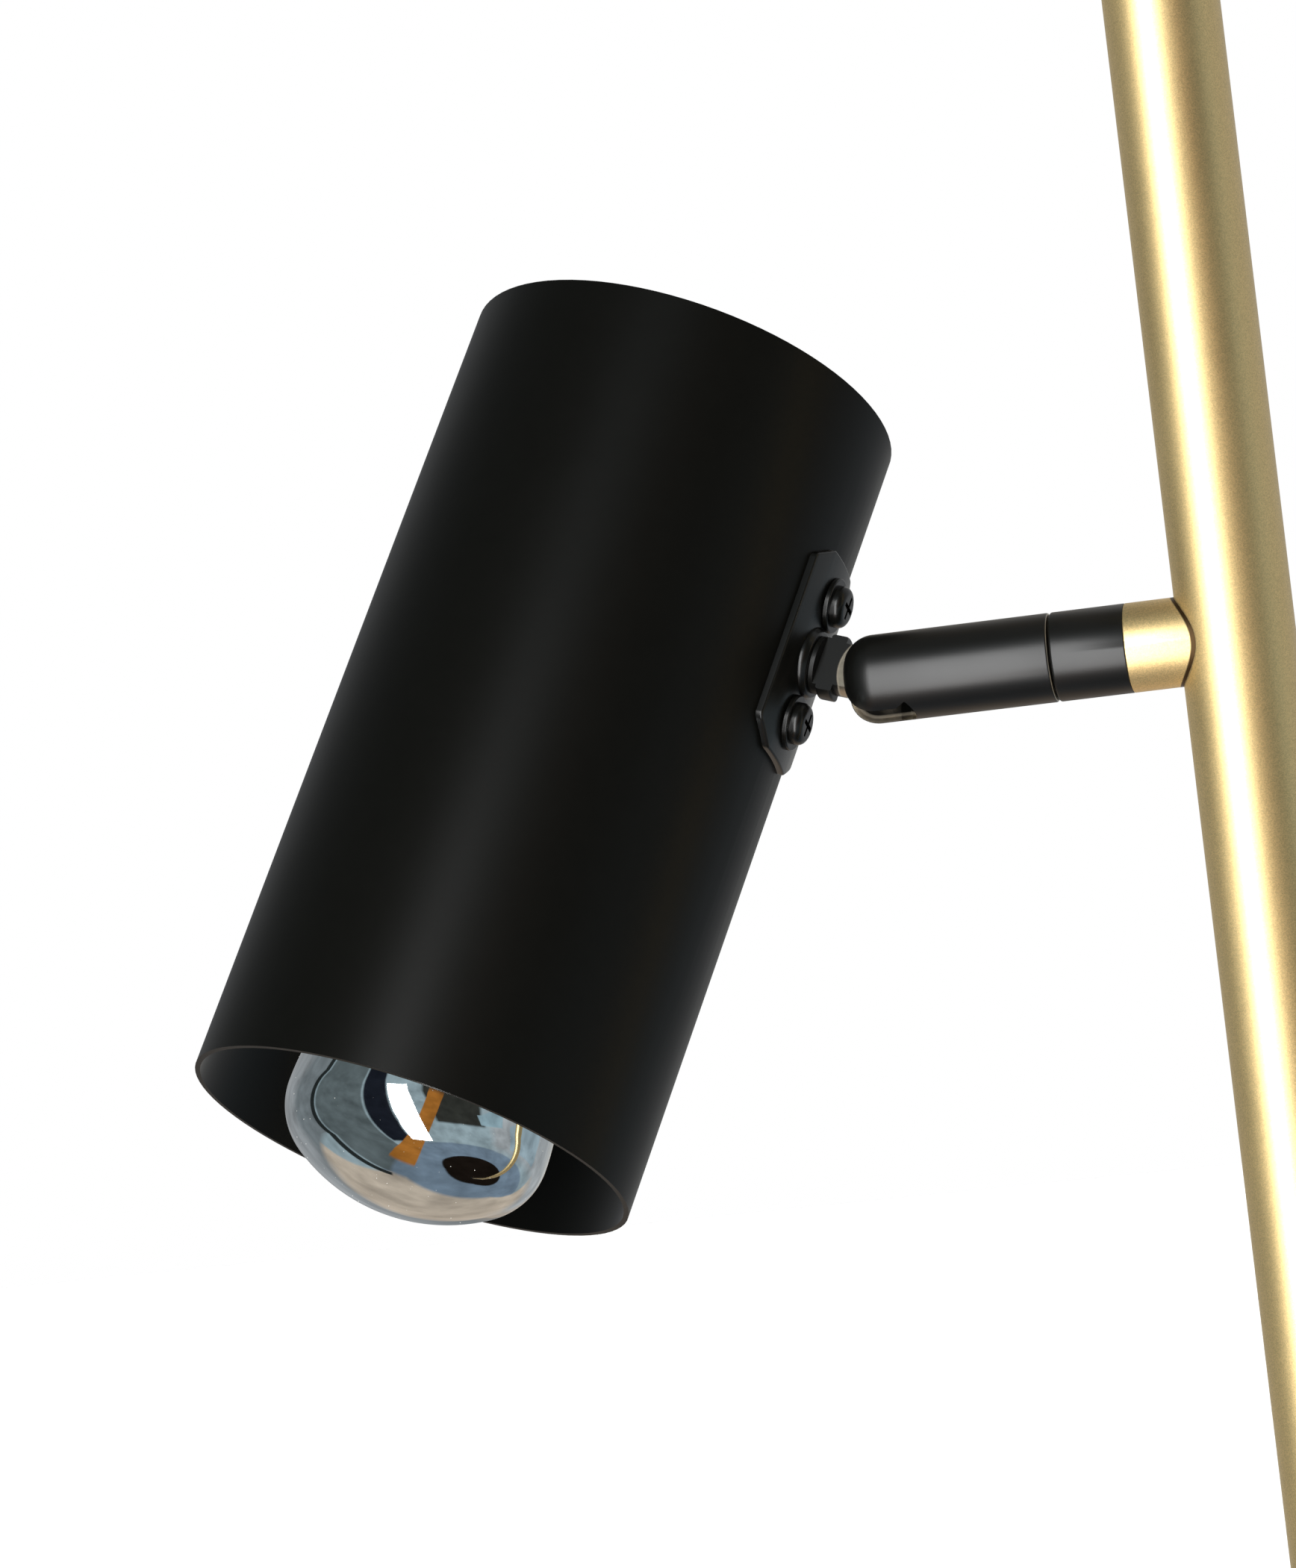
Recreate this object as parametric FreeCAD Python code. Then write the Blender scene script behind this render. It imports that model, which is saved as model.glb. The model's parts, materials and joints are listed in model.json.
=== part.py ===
import FreeCAD, Part
import math
import os

os.makedirs("parts", exist_ok=True)

# Floor-to-ceiling tension pole lamp with one swivelling spot head. Millimetres, +Z up.
# The origin is the centre of the foot's underside, and the pole stands on the Z axis.
# The head's arm points along -X.

# ---------------------------------------------------------------- driving dimensions
# Fits
THREAD_FIT = 0.03        # radial gap drawn between mating threads
PRESS_FIT = 0.05         # radial gap drawn round a pressed or glued-in piece
RUN_FIT = 0.05           # radial clearance of a pin or spigot in its bore
SLIDE_FIT = 0.3          # radial clearance of a sliding tube, rod or bush
HOLE_FIT = 0.2           # radial clearance of a screw in a plain hole

# Edge roundings, and how far a cutting tool passes the face it cuts
ROUND_FINE = 0.3
ROUND_SMALL = 0.5
ROUND_MEDIUM = 0.8
ROUND_LARGE = 1.2
ROUND_SOFT = 2.0
PAST = 1.0

# Pole
POLE_DIA = 22.0
POLE_WALL = 1.2
SECTION_LENGTH = 610.0   # each of the three fixed tubes
COUPLER_RING = 1.6       # the coupler's rim that shows between two tubes
COUPLER_DEPTH = 24.0     # the coupler's length inside each tube
COUPLER_BORE = 9.0
ARM_HEIGHT = 1450.0      # floor to the arm's axis

# Foot
FOOT_DIA = 72.0
FOOT_HEIGHT = 34.0
FOOT_NECK_WALL = 3.0     # wall round the tube's socket
FOOT_RIM = 4.0           # height of the foot's upright rim
FOOT_CONE_TOP = 21.0     # where the foot's slope meets its neck
FOOT_NECK_FILLET = 6.0
PAD_DIA = 66.0
PAD_THICKNESS = 6.0
PAD_PROUD = 2.0          # how far the pad stands out of its cup
PAD_GROOVE_AT = 0.62     # share of the pad's radius
PAD_GROOVE_WIDTH = 2.4
PAD_GROOVE_DEPTH = 0.8
FOOT_WEB = 3.0
FOOT_BOLT_DIA = 8.0
FOOT_BOLT_AF = 12.0
FOOT_BOLT_HEAD = 4.0
HEX_ROOM = 1.0           # room round a hexagon's corners inside a cup
FOOT_BOLT_LENGTH = 24.0
FOOT_INSERT_LENGTH = 25.0

# Mains lead inlet, low on the back of the pole
INLET_HEIGHT = 70.0
INLET_BORE = 6.6
INLET_NECK_DIA = 8.8
INLET_FLANGE_DIA = 12.0
INLET_FLANGE = 1.4
INLET_INSIDE = 1.0       # how far its neck reaches past the tube's inner wall

# Telescoping top tube
BUSH_WALL = 0.95
BUSH_LENGTH = 22.0
BUSH_FLANGE = 3.0
INNER_WALL = 1.0
INNER_OVERLAP = 180.0    # length of the inner tube inside the pole at rest
INNER_LENGTH = 647.0
GLIDE_FLANGE = 6.0
GLIDE_SPIGOT = 18.0
GLIDE_BORE = 5.0
COLLAR_WALL = 3.4
COLLAR_LENGTH = 20.0
COLLAR_BOSS_DIA = 12.0
COLLAR_BOSS_LENGTH = 5.0
LOCK_SCREW_DIA = 5.0
KNOB_DIA = 18.0
KNOB_LENGTH = 12.0
KNOB_NECK_DIA = 12.0
KNOB_NECK = 2.0
KNOB_THREAD = 7.2        # depth of the screw in the knob
KNOB_LOBES = 8
KNOB_GROOVE_DIA = 3.6
KNOB_GROOVE_OUT = 0.8    # the grip grooves' centres lie this far outside the knob
KNOB_GAP = 0.6           # between the knob and the collar's boss

# Sprung top
ROD_DIA = 9.0
ROD_EXPOSED = 60.0       # rod that shows below the ceiling cup at rest
ROD_HEAD_LENGTH = 6.0
TOP_BUSH_LENGTH = 15.0
TOP_BUSH_FLANGE = 3.0
SPRING_LENGTH = 138.0
SPRING_WIRE_DIA = 1.8
SPRING_OUTER_DIA = 13.6
SPRING_TURNS = 10
SEAT_LENGTH = 10.0
SEAT_PIN_DIA = 2.5
SEAT_PIN_INSET = 0.1
CEILING_DIA = 60.0
CEILING_HEIGHT = 22.0
CEILING_PAD_DIA = 54.0
CEILING_THREAD_DIA = 7.0
CEILING_NUT_AF = 12.0
CEILING_NUT = 5.0
CEILING_NECK = 7.0
CEILING_NECK_FILLET = 5.0
THREAD_PROUD = 1.0       # thread that shows beyond its nut

# Arm and swivel, along the arm's axis
ARM_DIA = 17.0
STUB_LENGTH = 9.4        # from the pole's surface
STUB_SPIGOT_DIA = 13.9
STUB_SPIGOT_LENGTH = 4.0
NIPPLE_DIA = 8.0
NIPPLE_BORE = 5.2
NIPPLE_NUT_AF = 12.0
NIPPLE_NUT = 3.6
RING_LENGTH = 14.2
RING_FRONT_WALL = 6.2    # bearing length of the pan spigot
PAN_SPIGOT_DIA = 10.5
PAN_NUT_DIA = 13.2
PAN_NUT = 2.2
PAN_WASHER = 0.6
SEAM = 0.25              # gap that shows between the fixed ring and the barrel
SEAM_EDGE = 0.2          # rounding of the edges along a tight seam
BARREL_LENGTH = 40.1
BARREL_NOSE_ROUND = 6.0
BARREL_BORE = 8.4
PIVOT_FROM_NOSE = 7.15
SLOT_STRAIGHT_END = 2.75 # behind the pivot, where the underside slot starts to flare
SLOT_FLARE_FULL = 4.4    # behind the pivot, where the flare is at its full width
SLOT_FLARE = 1.25        # how much the flare widens each side of the slot
SLOT_END_R = 6.1         # arc that closes the flare
SLOT_POCKET_TOP = 2.5    # the flare's ceiling, below the arm's axis
STEM_ROOM = 0.4          # room round the tongue's end and the stem inside the slot
PAN_AT_REST = 26.4       # degrees, about the arm's axis
TILT_AT_REST = 19.9      # degrees, the stem swung up from the arm's axis
TILT_UP_STOP = 28.0      # degrees from the arm's axis
TILT_DOWN_STOP = 35.0

# Knuckle: flat tongue, stem, stepped collar and hollow threaded end
TONGUE_THICKNESS = 5.2
TONGUE_SIDE_GAP = 0.12
STEM_DIA = 10.2
STEM_COLLAR_DIA = 12.7
STEM_COLLAR_START = 8.4  # from the pivot
STEM_COLLAR = 3.2
STEM_NECK_DIA = 11.2
STEM_NECK = 1.8
STEM_FLAT_END = 12.4     # flats run this far from the pivot
STEM_THREAD_DIA = 8.0
STEM_THREAD = 10.0
STEM_BORE = 3.6
WIRE_PORT_DIA = 3.4      # where the wires leave the tongue's side for the stem's bore
WIRE_PORT_AT = 7.2
STEM_NUT_AF = 12.0
STEM_NUT = 4.0
PIN_DIA = 4.0
PIN_HEAD_DIA = 5.8
PIN_HEAD = 1.3
PIN_SKIN = 1.6           # metal left over the pin's blind end
PIN_END_GAP = 0.1
PIN_SINK = 0.4           # how far the pin's head lies below the barrel's surface
PIN_SLOT = 0.8

# Shade and its stamped bracket
SHADE_DIA = 86.0
SHADE_LENGTH = 162.3
SHADE_WALL = 1.0
BRACKET_FROM_RIM = 111.3 # bracket's centre to the open rim, along the shade
LID_THICKNESS = 1.2
LID_RECESS = 0.5
PLATE_THICKNESS = 1.3
PLATE_LENGTH = 42.5
PLATE_WIDTH = 25.0
PLATE_CORNER_ALONG = 3.8 # size of the cut-off corners along the plate's length
PLATE_CORNER_ACROSS = 6.0
PLATE_CORNER_ROUND = 1.8
PLATE_EDGE_ROUND = 0.45
BOSS_HEIGHT = 1.1
BOSS_BASE_DIA = 14.2
BOSS_TOP_DIA = 12.8
BOSS_ROUND = 0.6
BOSS_SKIN = 1.0          # sheet left in the stamped ring
SCREW_SPACING = 25.3
SCREW_DIA = 4.0
SCREW_LENGTH = 9.0
SCREW_FLANGE_DIA = 10.8
SCREW_FLANGE = 0.9
SCREW_HEAD_DIA = 8.2
SCREW_HEAD = 2.3
SCREW_HEAD_ROUND = 1.6
RECESS_LENGTH = 4.6
RECESS_WIDTH = 0.9
RECESS_DEPTH = 1.3
SCREW_NUT_AF = 7.0
SCREW_NUT = 3.0

# Lampholder and the strap that carries it
STRAP_THICKNESS = 1.5
STRAP_WIDTH = 16.0
STRAP_TOP = 18.0         # strap's reach above the bracket's centre
STRAP_DROP = 19.0        # and below it, to the cross leg
HOLDER_NIPPLE_DIA = 10.0
HOLDER_NIPPLE_BORE = 6.0
HOLDER_NIPPLE_LENGTH = 16.0
HOLDER_NUT_AF = 14.0
HOLDER_NUT = 4.0
HOLDER_DIA = 27.2
HOLDER_TOP_DIA = 22.0
HOLDER_LENGTH = 43.0
HOLDER_TOP_LENGTH = 10.3
HOLDER_SLOPE = 3.5
HOLDER_WIRE_HOLE_DIA = 4.0
SHELL_RECESS = 2.0       # the screw shell starts this far inside the holder's mouth
HOLDER_SHELL_WALL = 0.9
CONTACT_DIA = 6.0
CONTACT_THICKNESS = 1.2

# Bulb with a silvered front
BULB_DIA = 51.0
BULB_LENGTH = 85.0
BULB_PROUD = 13.6        # how far the glass stands out of the rim
DOME_DEPTH = 17.0
DOME_EDGE_ARC = 13.0     # radius of the dome's shoulder, which runs into a flatter crown
BOWL_ARC = 51.0          # radius of the bowl's side
GLASS_WALL = 0.9
SILVER_EDGE = 6.0        # how far behind the widest part the silvering ends
BULB_NECK_DIA = 16.6
CAP_DIA = 13.9
CAP_LENGTH = 19.0
CAP_THREAD_PITCH = 2.8
CAP_THREAD_DEPTH = 0.6
CAP_PLAIN = 1.0          # plain band above the first thread ring
CAP_SKIRT = 3.0          # plain band at the glass
CAP_RIDGE = (0.35, 0.55, 0.9)  # crest start, crest end and foot, as shares of the pitch
CAP_TIP_DIA = 4.6
CAP_TIP = 1.8
CAP_CONE = 3.0
CAP_CURL = 0.4           # the cap's edge rolled over the insulator
CAPSULE_DIA = 8.4
CAPSULE_LENGTH = 21.0
CAPSULE_TIP = 4.0
CAPSULE_TIP_DIA = 1.2
CAPSULE_BELOW_EQUATOR = 3.0
WIRE_DIA = 0.8
WIRE_SPREAD = 5.0
BEAD_DIA = 2.4
BEAD_AT = 0.35           # share of the wires' length above the capsule
BEAD_OVERHANG = 1.0

# ---------------------------------------------------------------- worked-out sizes
POLE_R = POLE_DIA / 2
POLE_BORE_R = POLE_R - POLE_WALL
POLE_FOOT_Z = PAD_THICKNESS + FOOT_BOLT_HEAD + FOOT_WEB
SECTION_PITCH = SECTION_LENGTH + COUPLER_RING
POLE_TOP_Z = POLE_FOOT_Z + 3 * SECTION_LENGTH + 2 * COUPLER_RING
BUSH_OUTER_R = POLE_BORE_R - PRESS_FIT
BUSH_BORE_R = BUSH_OUTER_R - BUSH_WALL
INNER_R = BUSH_BORE_R - SLIDE_FIT
INNER_BORE_R = INNER_R - INNER_WALL
INNER_BOTTOM_Z = POLE_TOP_Z - INNER_OVERLAP
INNER_TOP_Z = INNER_BOTTOM_Z + INNER_LENGTH
LOCK_Z = POLE_TOP_Z - COLLAR_LENGTH / 2
BOSS_END = POLE_R + COLLAR_WALL + COLLAR_BOSS_LENGTH
KNOB_START = BOSS_END + KNOB_GAP
ROD_R = ROD_DIA / 2
ROD_STOP_Z = INNER_TOP_Z - TOP_BUSH_LENGTH
ROD_SHOULDER_Z = INNER_TOP_Z + TOP_BUSH_FLANGE + ROD_EXPOSED
SPRING_TOP_Z = ROD_STOP_Z - ROD_HEAD_LENGTH
SPRING_FOOT_Z = SPRING_TOP_Z - SPRING_LENGTH
CEILING_WEB_TOP_Z = ROD_SHOULDER_Z + FOOT_WEB
CEILING_TOP_Z = ROD_SHOULDER_Z + CEILING_HEIGHT + PAD_PROUD

ARM_R = ARM_DIA / 2
STUB_END = POLE_R + STUB_LENGTH
RING_END = STUB_END + RING_LENGTH
BARREL_START = RING_END + SEAM
BARREL_NOSE = BARREL_START + BARREL_LENGTH
PIVOT_REACH = BARREL_NOSE - PIVOT_FROM_NOSE
CHAMBER_R = STUB_SPIGOT_DIA / 2 + THREAD_FIT
CHAMBER_END = RING_END - RING_FRONT_WALL
SLOT_HALF = TONGUE_THICKNESS / 2 + TONGUE_SIDE_GAP
PIN_SHOULDER = PIN_SINK + PIN_HEAD - ARM_R

HUB_FACE = STEM_COLLAR_START + STEM_COLLAR + STEM_NECK
PLATE_FACE = HUB_FACE + BOSS_HEIGHT
SHADE_FACE = PLATE_FACE + PLATE_THICKNESS
SHADE_R = SHADE_DIA / 2
SHADE_AXIS = SHADE_FACE + SHADE_R
SHADE_BORE_R = SHADE_R - SHADE_WALL
STRAP_BORE_R = SHADE_BORE_R - STRAP_THICKNESS
RIM = -BRACKET_FROM_RIM
SHADE_TOP = RIM + SHADE_LENGTH

BULB_R = BULB_DIA / 2
BULB_APEX = RIM - BULB_PROUD
BULB_EQUATOR = BULB_APEX + DOME_DEPTH
BULB_TIP = BULB_APEX + BULB_LENGTH
CAP_TOP = BULB_TIP - CAP_TIP - CAP_CONE
CAP_FOOT = CAP_TOP - CAP_LENGTH
HOLDER_SEAT = -STRAP_DROP - STRAP_THICKNESS
HOLDER_MOUTH = HOLDER_SEAT - HOLDER_LENGTH

X, Y, Z = FreeCAD.Vector(1, 0, 0), FreeCAD.Vector(0, 1, 0), FreeCAD.Vector(0, 0, 1)
ORIGIN = FreeCAD.Vector(0, 0, 0)

# Frames: x runs out along the arm, y along the pivot pin, z away from the barrel's slot.
ARM_FIXED = FreeCAD.Placement(FreeCAD.Vector(0, 0, ARM_HEIGHT), FreeCAD.Rotation(Z, 180))
ARM_PANNED = ARM_FIXED.multiply(FreeCAD.Placement(ORIGIN, FreeCAD.Rotation(X, PAN_AT_REST)))
# Head frame: x runs from the pivot to the shade, z towards the shade's closed end.
HEAD = ARM_PANNED.multiply(
    FreeCAD.Placement(FreeCAD.Vector(PIVOT_REACH, 0, 0), FreeCAD.Rotation(Y, -TILT_AT_REST)))


# ---------------------------------------------------------------- shape helpers
def rod(radius, low, high, axis=Z, centre=ORIGIN):
    """Cylinder along an axis, from station low to station high."""
    return Part.makeCylinder(radius, high - low, centre + axis * low, axis)


def sleeve(outer, inner, low, high, axis=Z, centre=ORIGIN):
    """Tube along an axis."""
    return rod(outer, low, high, axis, centre).cut(rod(inner, low, high, axis, centre))


def block(x, y, z):
    """Box from three (low, high) pairs."""
    return Part.makeBox(x[1] - x[0], y[1] - y[0], z[1] - z[0], FreeCAD.Vector(x[0], y[0], z[0]))


def hexagon(across_flats, low, high, axis=Z, centre=ORIGIN):
    """Hexagonal prism along an axis."""
    side = Z if abs(axis.dot(Z)) < 0.5 else X
    corner = across_flats / math.sqrt(3)
    points = []
    for i in range(7):
        turn = FreeCAD.Rotation(axis, 60 * i)
        points.append(centre + axis * low + turn.multVec(side) * corner)
    return Part.Face(Part.makePolygon(points)).extrude(axis * (high - low))


def rounded_edges(corners):
    """Closed outline as edges. Each corner is (point, radius), and a radius rounds it."""
    starts, ends, arcs = [], [], []
    count = len(corners)
    for i, (point, radius) in enumerate(corners):
        back = (corners[i - 1][0] - point).normalize()
        ahead = (corners[(i + 1) % count][0] - point).normalize()
        if radius <= 0:
            starts.append(point)
            ends.append(point)
            arcs.append(None)
            continue
        half = back.getAngle(ahead) / 2
        run = radius / math.tan(half)
        middle = (back + ahead).normalize() * (radius / math.sin(half) - radius)
        starts.append(point + back * run)
        ends.append(point + ahead * run)
        arcs.append(Part.Arc(starts[-1], point + middle, ends[-1]).toShape())
    edges = []
    for i in range(count):
        if arcs[i] is not None:
            edges.append(arcs[i])
        following = starts[(i + 1) % count]
        if (following - ends[i]).Length > 1e-7:
            edges.append(Part.LineSegment(ends[i], following).toShape())
    return edges


def turned(profile, axis=Z, centre=ORIGIN):
    """Turned solid. The profile lists (radius, station) or (radius, station, rounding)."""
    side = Z if abs(axis.dot(Z)) < 0.5 else X
    corners = []
    for row in profile:
        point = centre + side * row[0] + axis * row[1]
        corners.append((point, row[2] if len(row) > 2 else 0))
    face = Part.Face(Part.Wire(rounded_edges(corners)))
    return face.revolve(centre, axis, 360)


def fused(shapes):
    """One solid out of overlapping ones."""
    first, rest = shapes[0], shapes[1:]
    return first.multiFuse(rest).removeSplitter()


def write(node, shape, frame=None):
    """One STEP file for each node."""
    if frame is not None:
        shape = shape.copy()
        shape.Placement = frame.multiply(shape.Placement)
    if not shape.isValid():
        raise ValueError(node + " is not a valid shape")
    shape.exportStep("parts/" + node + ".step")
    print(node, len(shape.Solids), "solid(s),", round(shape.Volume), "mm3")


# ---------------------------------------------------------------- foot and pole
def hex_room_r(across_flats):
    """Radius of a round recess that takes a hexagon."""
    return across_flats / math.sqrt(3) + HEX_ROOM


def end_pad(diameter):
    """Rubber pad with a shallow ring groove in its bearing face."""
    r = diameter / 2
    pad = turned([(0, 0), (r, 0, ROUND_LARGE), (r, PAD_THICKNESS, ROUND_SMALL), (0, PAD_THICKNESS)])
    groove_r = r * PAD_GROOVE_AT
    half = PAD_GROOVE_WIDTH / 2
    return pad.cut(sleeve(groove_r + half, groove_r - half, 0, PAD_GROOVE_DEPTH))


def foot_cup():
    """Turned cup: a recess for the pad below, a web, and a neck that takes the tube."""
    outer = FOOT_DIA / 2
    socket_r = POLE_R + PRESS_FIT
    neck = socket_r + FOOT_NECK_WALL
    web_low = PAD_THICKNESS + FOOT_BOLT_HEAD
    body = turned([
        (0, PAD_PROUD), (outer, PAD_PROUD, ROUND_MEDIUM), (outer, PAD_PROUD + FOOT_RIM, ROUND_LARGE),
        (neck, FOOT_CONE_TOP, FOOT_NECK_FILLET), (neck, FOOT_HEIGHT, ROUND_MEDIUM), (0, FOOT_HEIGHT)])
    body = body.cut(rod(PAD_DIA / 2 + PRESS_FIT, 0, PAD_THICKNESS))
    body = body.cut(rod(hex_room_r(FOOT_BOLT_AF), 0, web_low))
    body = body.cut(rod(socket_r, POLE_FOOT_Z, FOOT_HEIGHT + PAST))
    return body.cut(rod(FOOT_BOLT_DIA / 2 + HOLE_FIT, 0, FOOT_HEIGHT))


def foot_bolt():
    shank_z = PAD_THICKNESS + FOOT_BOLT_HEAD
    head = hexagon(FOOT_BOLT_AF, PAD_THICKNESS, shank_z)
    return fused([head, rod(FOOT_BOLT_DIA / 2, shank_z - PAST, shank_z + FOOT_BOLT_LENGTH)])


def foot_insert():
    """Threaded plug pressed into the bottom of the pole."""
    top = POLE_FOOT_Z + FOOT_INSERT_LENGTH
    outer = POLE_BORE_R - PRESS_FIT
    body = turned([(0, POLE_FOOT_Z), (outer, POLE_FOOT_Z, ROUND_SMALL), (outer, top, ROUND_MEDIUM), (0, top)])
    return body.cut(rod(FOOT_BOLT_DIA / 2 + THREAD_FIT, POLE_FOOT_Z - PAST, top + PAST))


def pole_tube(index):
    low = POLE_FOOT_Z + index * SECTION_PITCH
    return sleeve(POLE_R, POLE_BORE_R, low, low + SECTION_LENGTH)


def lower_tube():
    centre = FreeCAD.Vector(0, 0, INLET_HEIGHT)
    hole = rod(INLET_NECK_DIA / 2 + PRESS_FIT, 0, POLE_R + PAST, Y, centre)
    return pole_tube(0).cut(hole)


def upper_tube():
    arm_centre = FreeCAD.Vector(0, 0, ARM_HEIGHT)
    arm_hole = rod(NIPPLE_DIA / 2 + HOLE_FIT, 0, POLE_R + PAST, -X, arm_centre)
    return pole_tube(2).cut(arm_hole).cut(lock_hole())


def lock_hole():
    """Clearance hole for the lock screw, through the tube and the bush."""
    return rod(LOCK_SCREW_DIA / 2 + HOLE_FIT, 0, POLE_R + PAST, X, FreeCAD.Vector(0, 0, LOCK_Z))


def coupler(index):
    """Threaded joiner whose rim shows as a thin ring between two tubes."""
    ring_high = POLE_FOOT_Z + index * SECTION_PITCH
    ring_low = ring_high - COUPLER_RING
    low, high = ring_low - COUPLER_DEPTH, ring_high + COUPLER_DEPTH
    plug_r = POLE_BORE_R - PRESS_FIT
    body = turned([
        (0, low), (plug_r, low, ROUND_MEDIUM), (plug_r, ring_low), (POLE_R, ring_low, ROUND_FINE),
        (POLE_R, ring_high, ROUND_FINE), (plug_r, ring_high), (plug_r, high, ROUND_MEDIUM), (0, high)])
    return body.cut(rod(COUPLER_BORE / 2, low - PAST, high + PAST))


def lead_inlet():
    """Rubber bush for the mains lead, seated on the round tube."""
    centre = FreeCAD.Vector(0, 0, INLET_HEIGHT)
    face = POLE_R + INLET_FLANGE
    flange_r = INLET_FLANGE_DIA / 2
    neck = rod(INLET_NECK_DIA / 2, POLE_BORE_R - INLET_INSIDE, POLE_R + INLET_FLANGE / 2, Y, centre)
    flange = turned([(0, 0), (flange_r, 0), (flange_r, face, ROUND_SMALL), (0, face)], Y, centre)
    flange = flange.cut(rod(POLE_R + PRESS_FIT, INLET_HEIGHT - INLET_FLANGE_DIA,
                            INLET_HEIGHT + INLET_FLANGE_DIA))
    return fused([neck, flange]).cut(rod(INLET_BORE / 2, 0, face + PAST, Y, centre))


# ---------------------------------------------------------------- telescoping top
def guide_bush():
    body = sleeve(BUSH_OUTER_R, BUSH_BORE_R, POLE_TOP_Z - BUSH_LENGTH, POLE_TOP_Z)
    high = POLE_TOP_Z + BUSH_FLANGE
    flange = turned([(BUSH_BORE_R, POLE_TOP_Z), (POLE_R, POLE_TOP_Z), (POLE_R, high, ROUND_LARGE),
                     (BUSH_BORE_R, high, ROUND_FINE)])
    return fused([body, flange]).cut(lock_hole())


def clamp_collar():
    bore_r = POLE_R + PRESS_FIT
    outer_r = POLE_R + COLLAR_WALL
    low = POLE_TOP_Z - COLLAR_LENGTH
    centre = FreeCAD.Vector(0, 0, LOCK_Z)
    body = turned([(bore_r, low), (outer_r, low, ROUND_MEDIUM), (outer_r, POLE_TOP_Z, ROUND_MEDIUM),
                   (bore_r, POLE_TOP_Z)])
    boss_r = COLLAR_BOSS_DIA / 2
    boss = turned([(0, 0), (boss_r, 0), (boss_r, BOSS_END, ROUND_SMALL), (0, BOSS_END)], X, centre)
    boss = boss.cut(rod(bore_r, low, POLE_TOP_Z))
    hole = rod(LOCK_SCREW_DIA / 2 + RUN_FIT, 0, BOSS_END + PAST, X, centre)
    return fused([body, boss]).cut(hole)


def lock_screw():
    centre = FreeCAD.Vector(0, 0, LOCK_Z)
    start, end = INNER_R + SLIDE_FIT, KNOB_START + KNOB_THREAD
    r = LOCK_SCREW_DIA / 2
    return turned([(0, start), (r, start, ROUND_MEDIUM), (r, end), (0, end)], X, centre)


def lock_knob():
    """Moulded knob with scalloped grips."""
    centre = FreeCAD.Vector(0, 0, LOCK_Z)
    low, high = KNOB_START, KNOB_START + KNOB_LENGTH
    grip = low + KNOB_NECK
    r, neck_r = KNOB_DIA / 2, KNOB_NECK_DIA / 2
    body = turned([(0, low), (neck_r, low), (neck_r, grip), (r, grip, ROUND_MEDIUM), (r, high, ROUND_SOFT),
                   (0, high)], X, centre)
    for i in range(KNOB_LOBES):
        turn = FreeCAD.Rotation(X, 360.0 * i / KNOB_LOBES)
        groove_centre = centre + turn.multVec(Z) * (r + KNOB_GROOVE_OUT)
        body = body.cut(rod(KNOB_GROOVE_DIA / 2, low, high + PAST, X, groove_centre))
    return body.cut(rod(LOCK_SCREW_DIA / 2 + THREAD_FIT, low - PAST, low + KNOB_THREAD, X, centre))


def inner_tube():
    tube = sleeve(INNER_R, INNER_BORE_R, INNER_BOTTOM_Z, INNER_TOP_Z)
    return tube.cut(seat_pin_bore())


def seat_pin_bore():
    centre = FreeCAD.Vector(0, 0, SPRING_FOOT_Z - SEAT_LENGTH / 2)
    return rod(SEAT_PIN_DIA / 2 + PRESS_FIT, -INNER_R - PAST, INNER_R + PAST, Y, centre)


def seat_pin():
    centre = FreeCAD.Vector(0, 0, SPRING_FOOT_Z - SEAT_LENGTH / 2)
    return rod(SEAT_PIN_DIA / 2, SEAT_PIN_INSET - INNER_R, INNER_R - SEAT_PIN_INSET, Y, centre)


def tube_glide():
    """Nylon plug that guides the inner tube's foot inside the pole."""
    low, high = INNER_BOTTOM_Z - GLIDE_FLANGE, INNER_BOTTOM_Z + GLIDE_SPIGOT
    flange_r, spigot_r, bore_r = POLE_BORE_R - SLIDE_FIT, INNER_BORE_R - PRESS_FIT, GLIDE_BORE / 2
    return turned([(bore_r, low), (flange_r, low, ROUND_MEDIUM), (flange_r, INNER_BOTTOM_Z),
                   (spigot_r, INNER_BOTTOM_Z), (spigot_r, high, ROUND_MEDIUM), (bore_r, high)])


def spring_seat():
    low = SPRING_FOOT_Z - SEAT_LENGTH
    body = rod(INNER_BORE_R - PRESS_FIT, low, SPRING_FOOT_Z)
    return body.cut(seat_pin_bore())


def biarc(start, start_run, end, end_run):
    """Two tangent arcs from start to end, along the given unit directions."""
    gap = end - start
    along = start_run + end_run
    a = 4 - along.Length ** 2
    b = 2 * gap.dot(along)
    c = -gap.Length ** 2
    reach = (-b + math.sqrt(b * b - 4 * a * c)) / (2 * a)
    first, second = start + start_run * reach, end - end_run * reach
    joint = (first + second) * 0.5
    arcs = []
    for low, corner, high in ((start, first, joint), (joint, second, end)):
        chord_middle = (low + high) * 0.5
        lift = corner - chord_middle
        half_chord = (high - low).Length / 2
        half_turn = math.atan2(lift.Length, half_chord)
        crown = chord_middle + lift.normalize() * (half_chord * math.tan(half_turn / 2))
        arcs.append(Part.Arc(low, crown, high).toShape())
    return arcs


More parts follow.
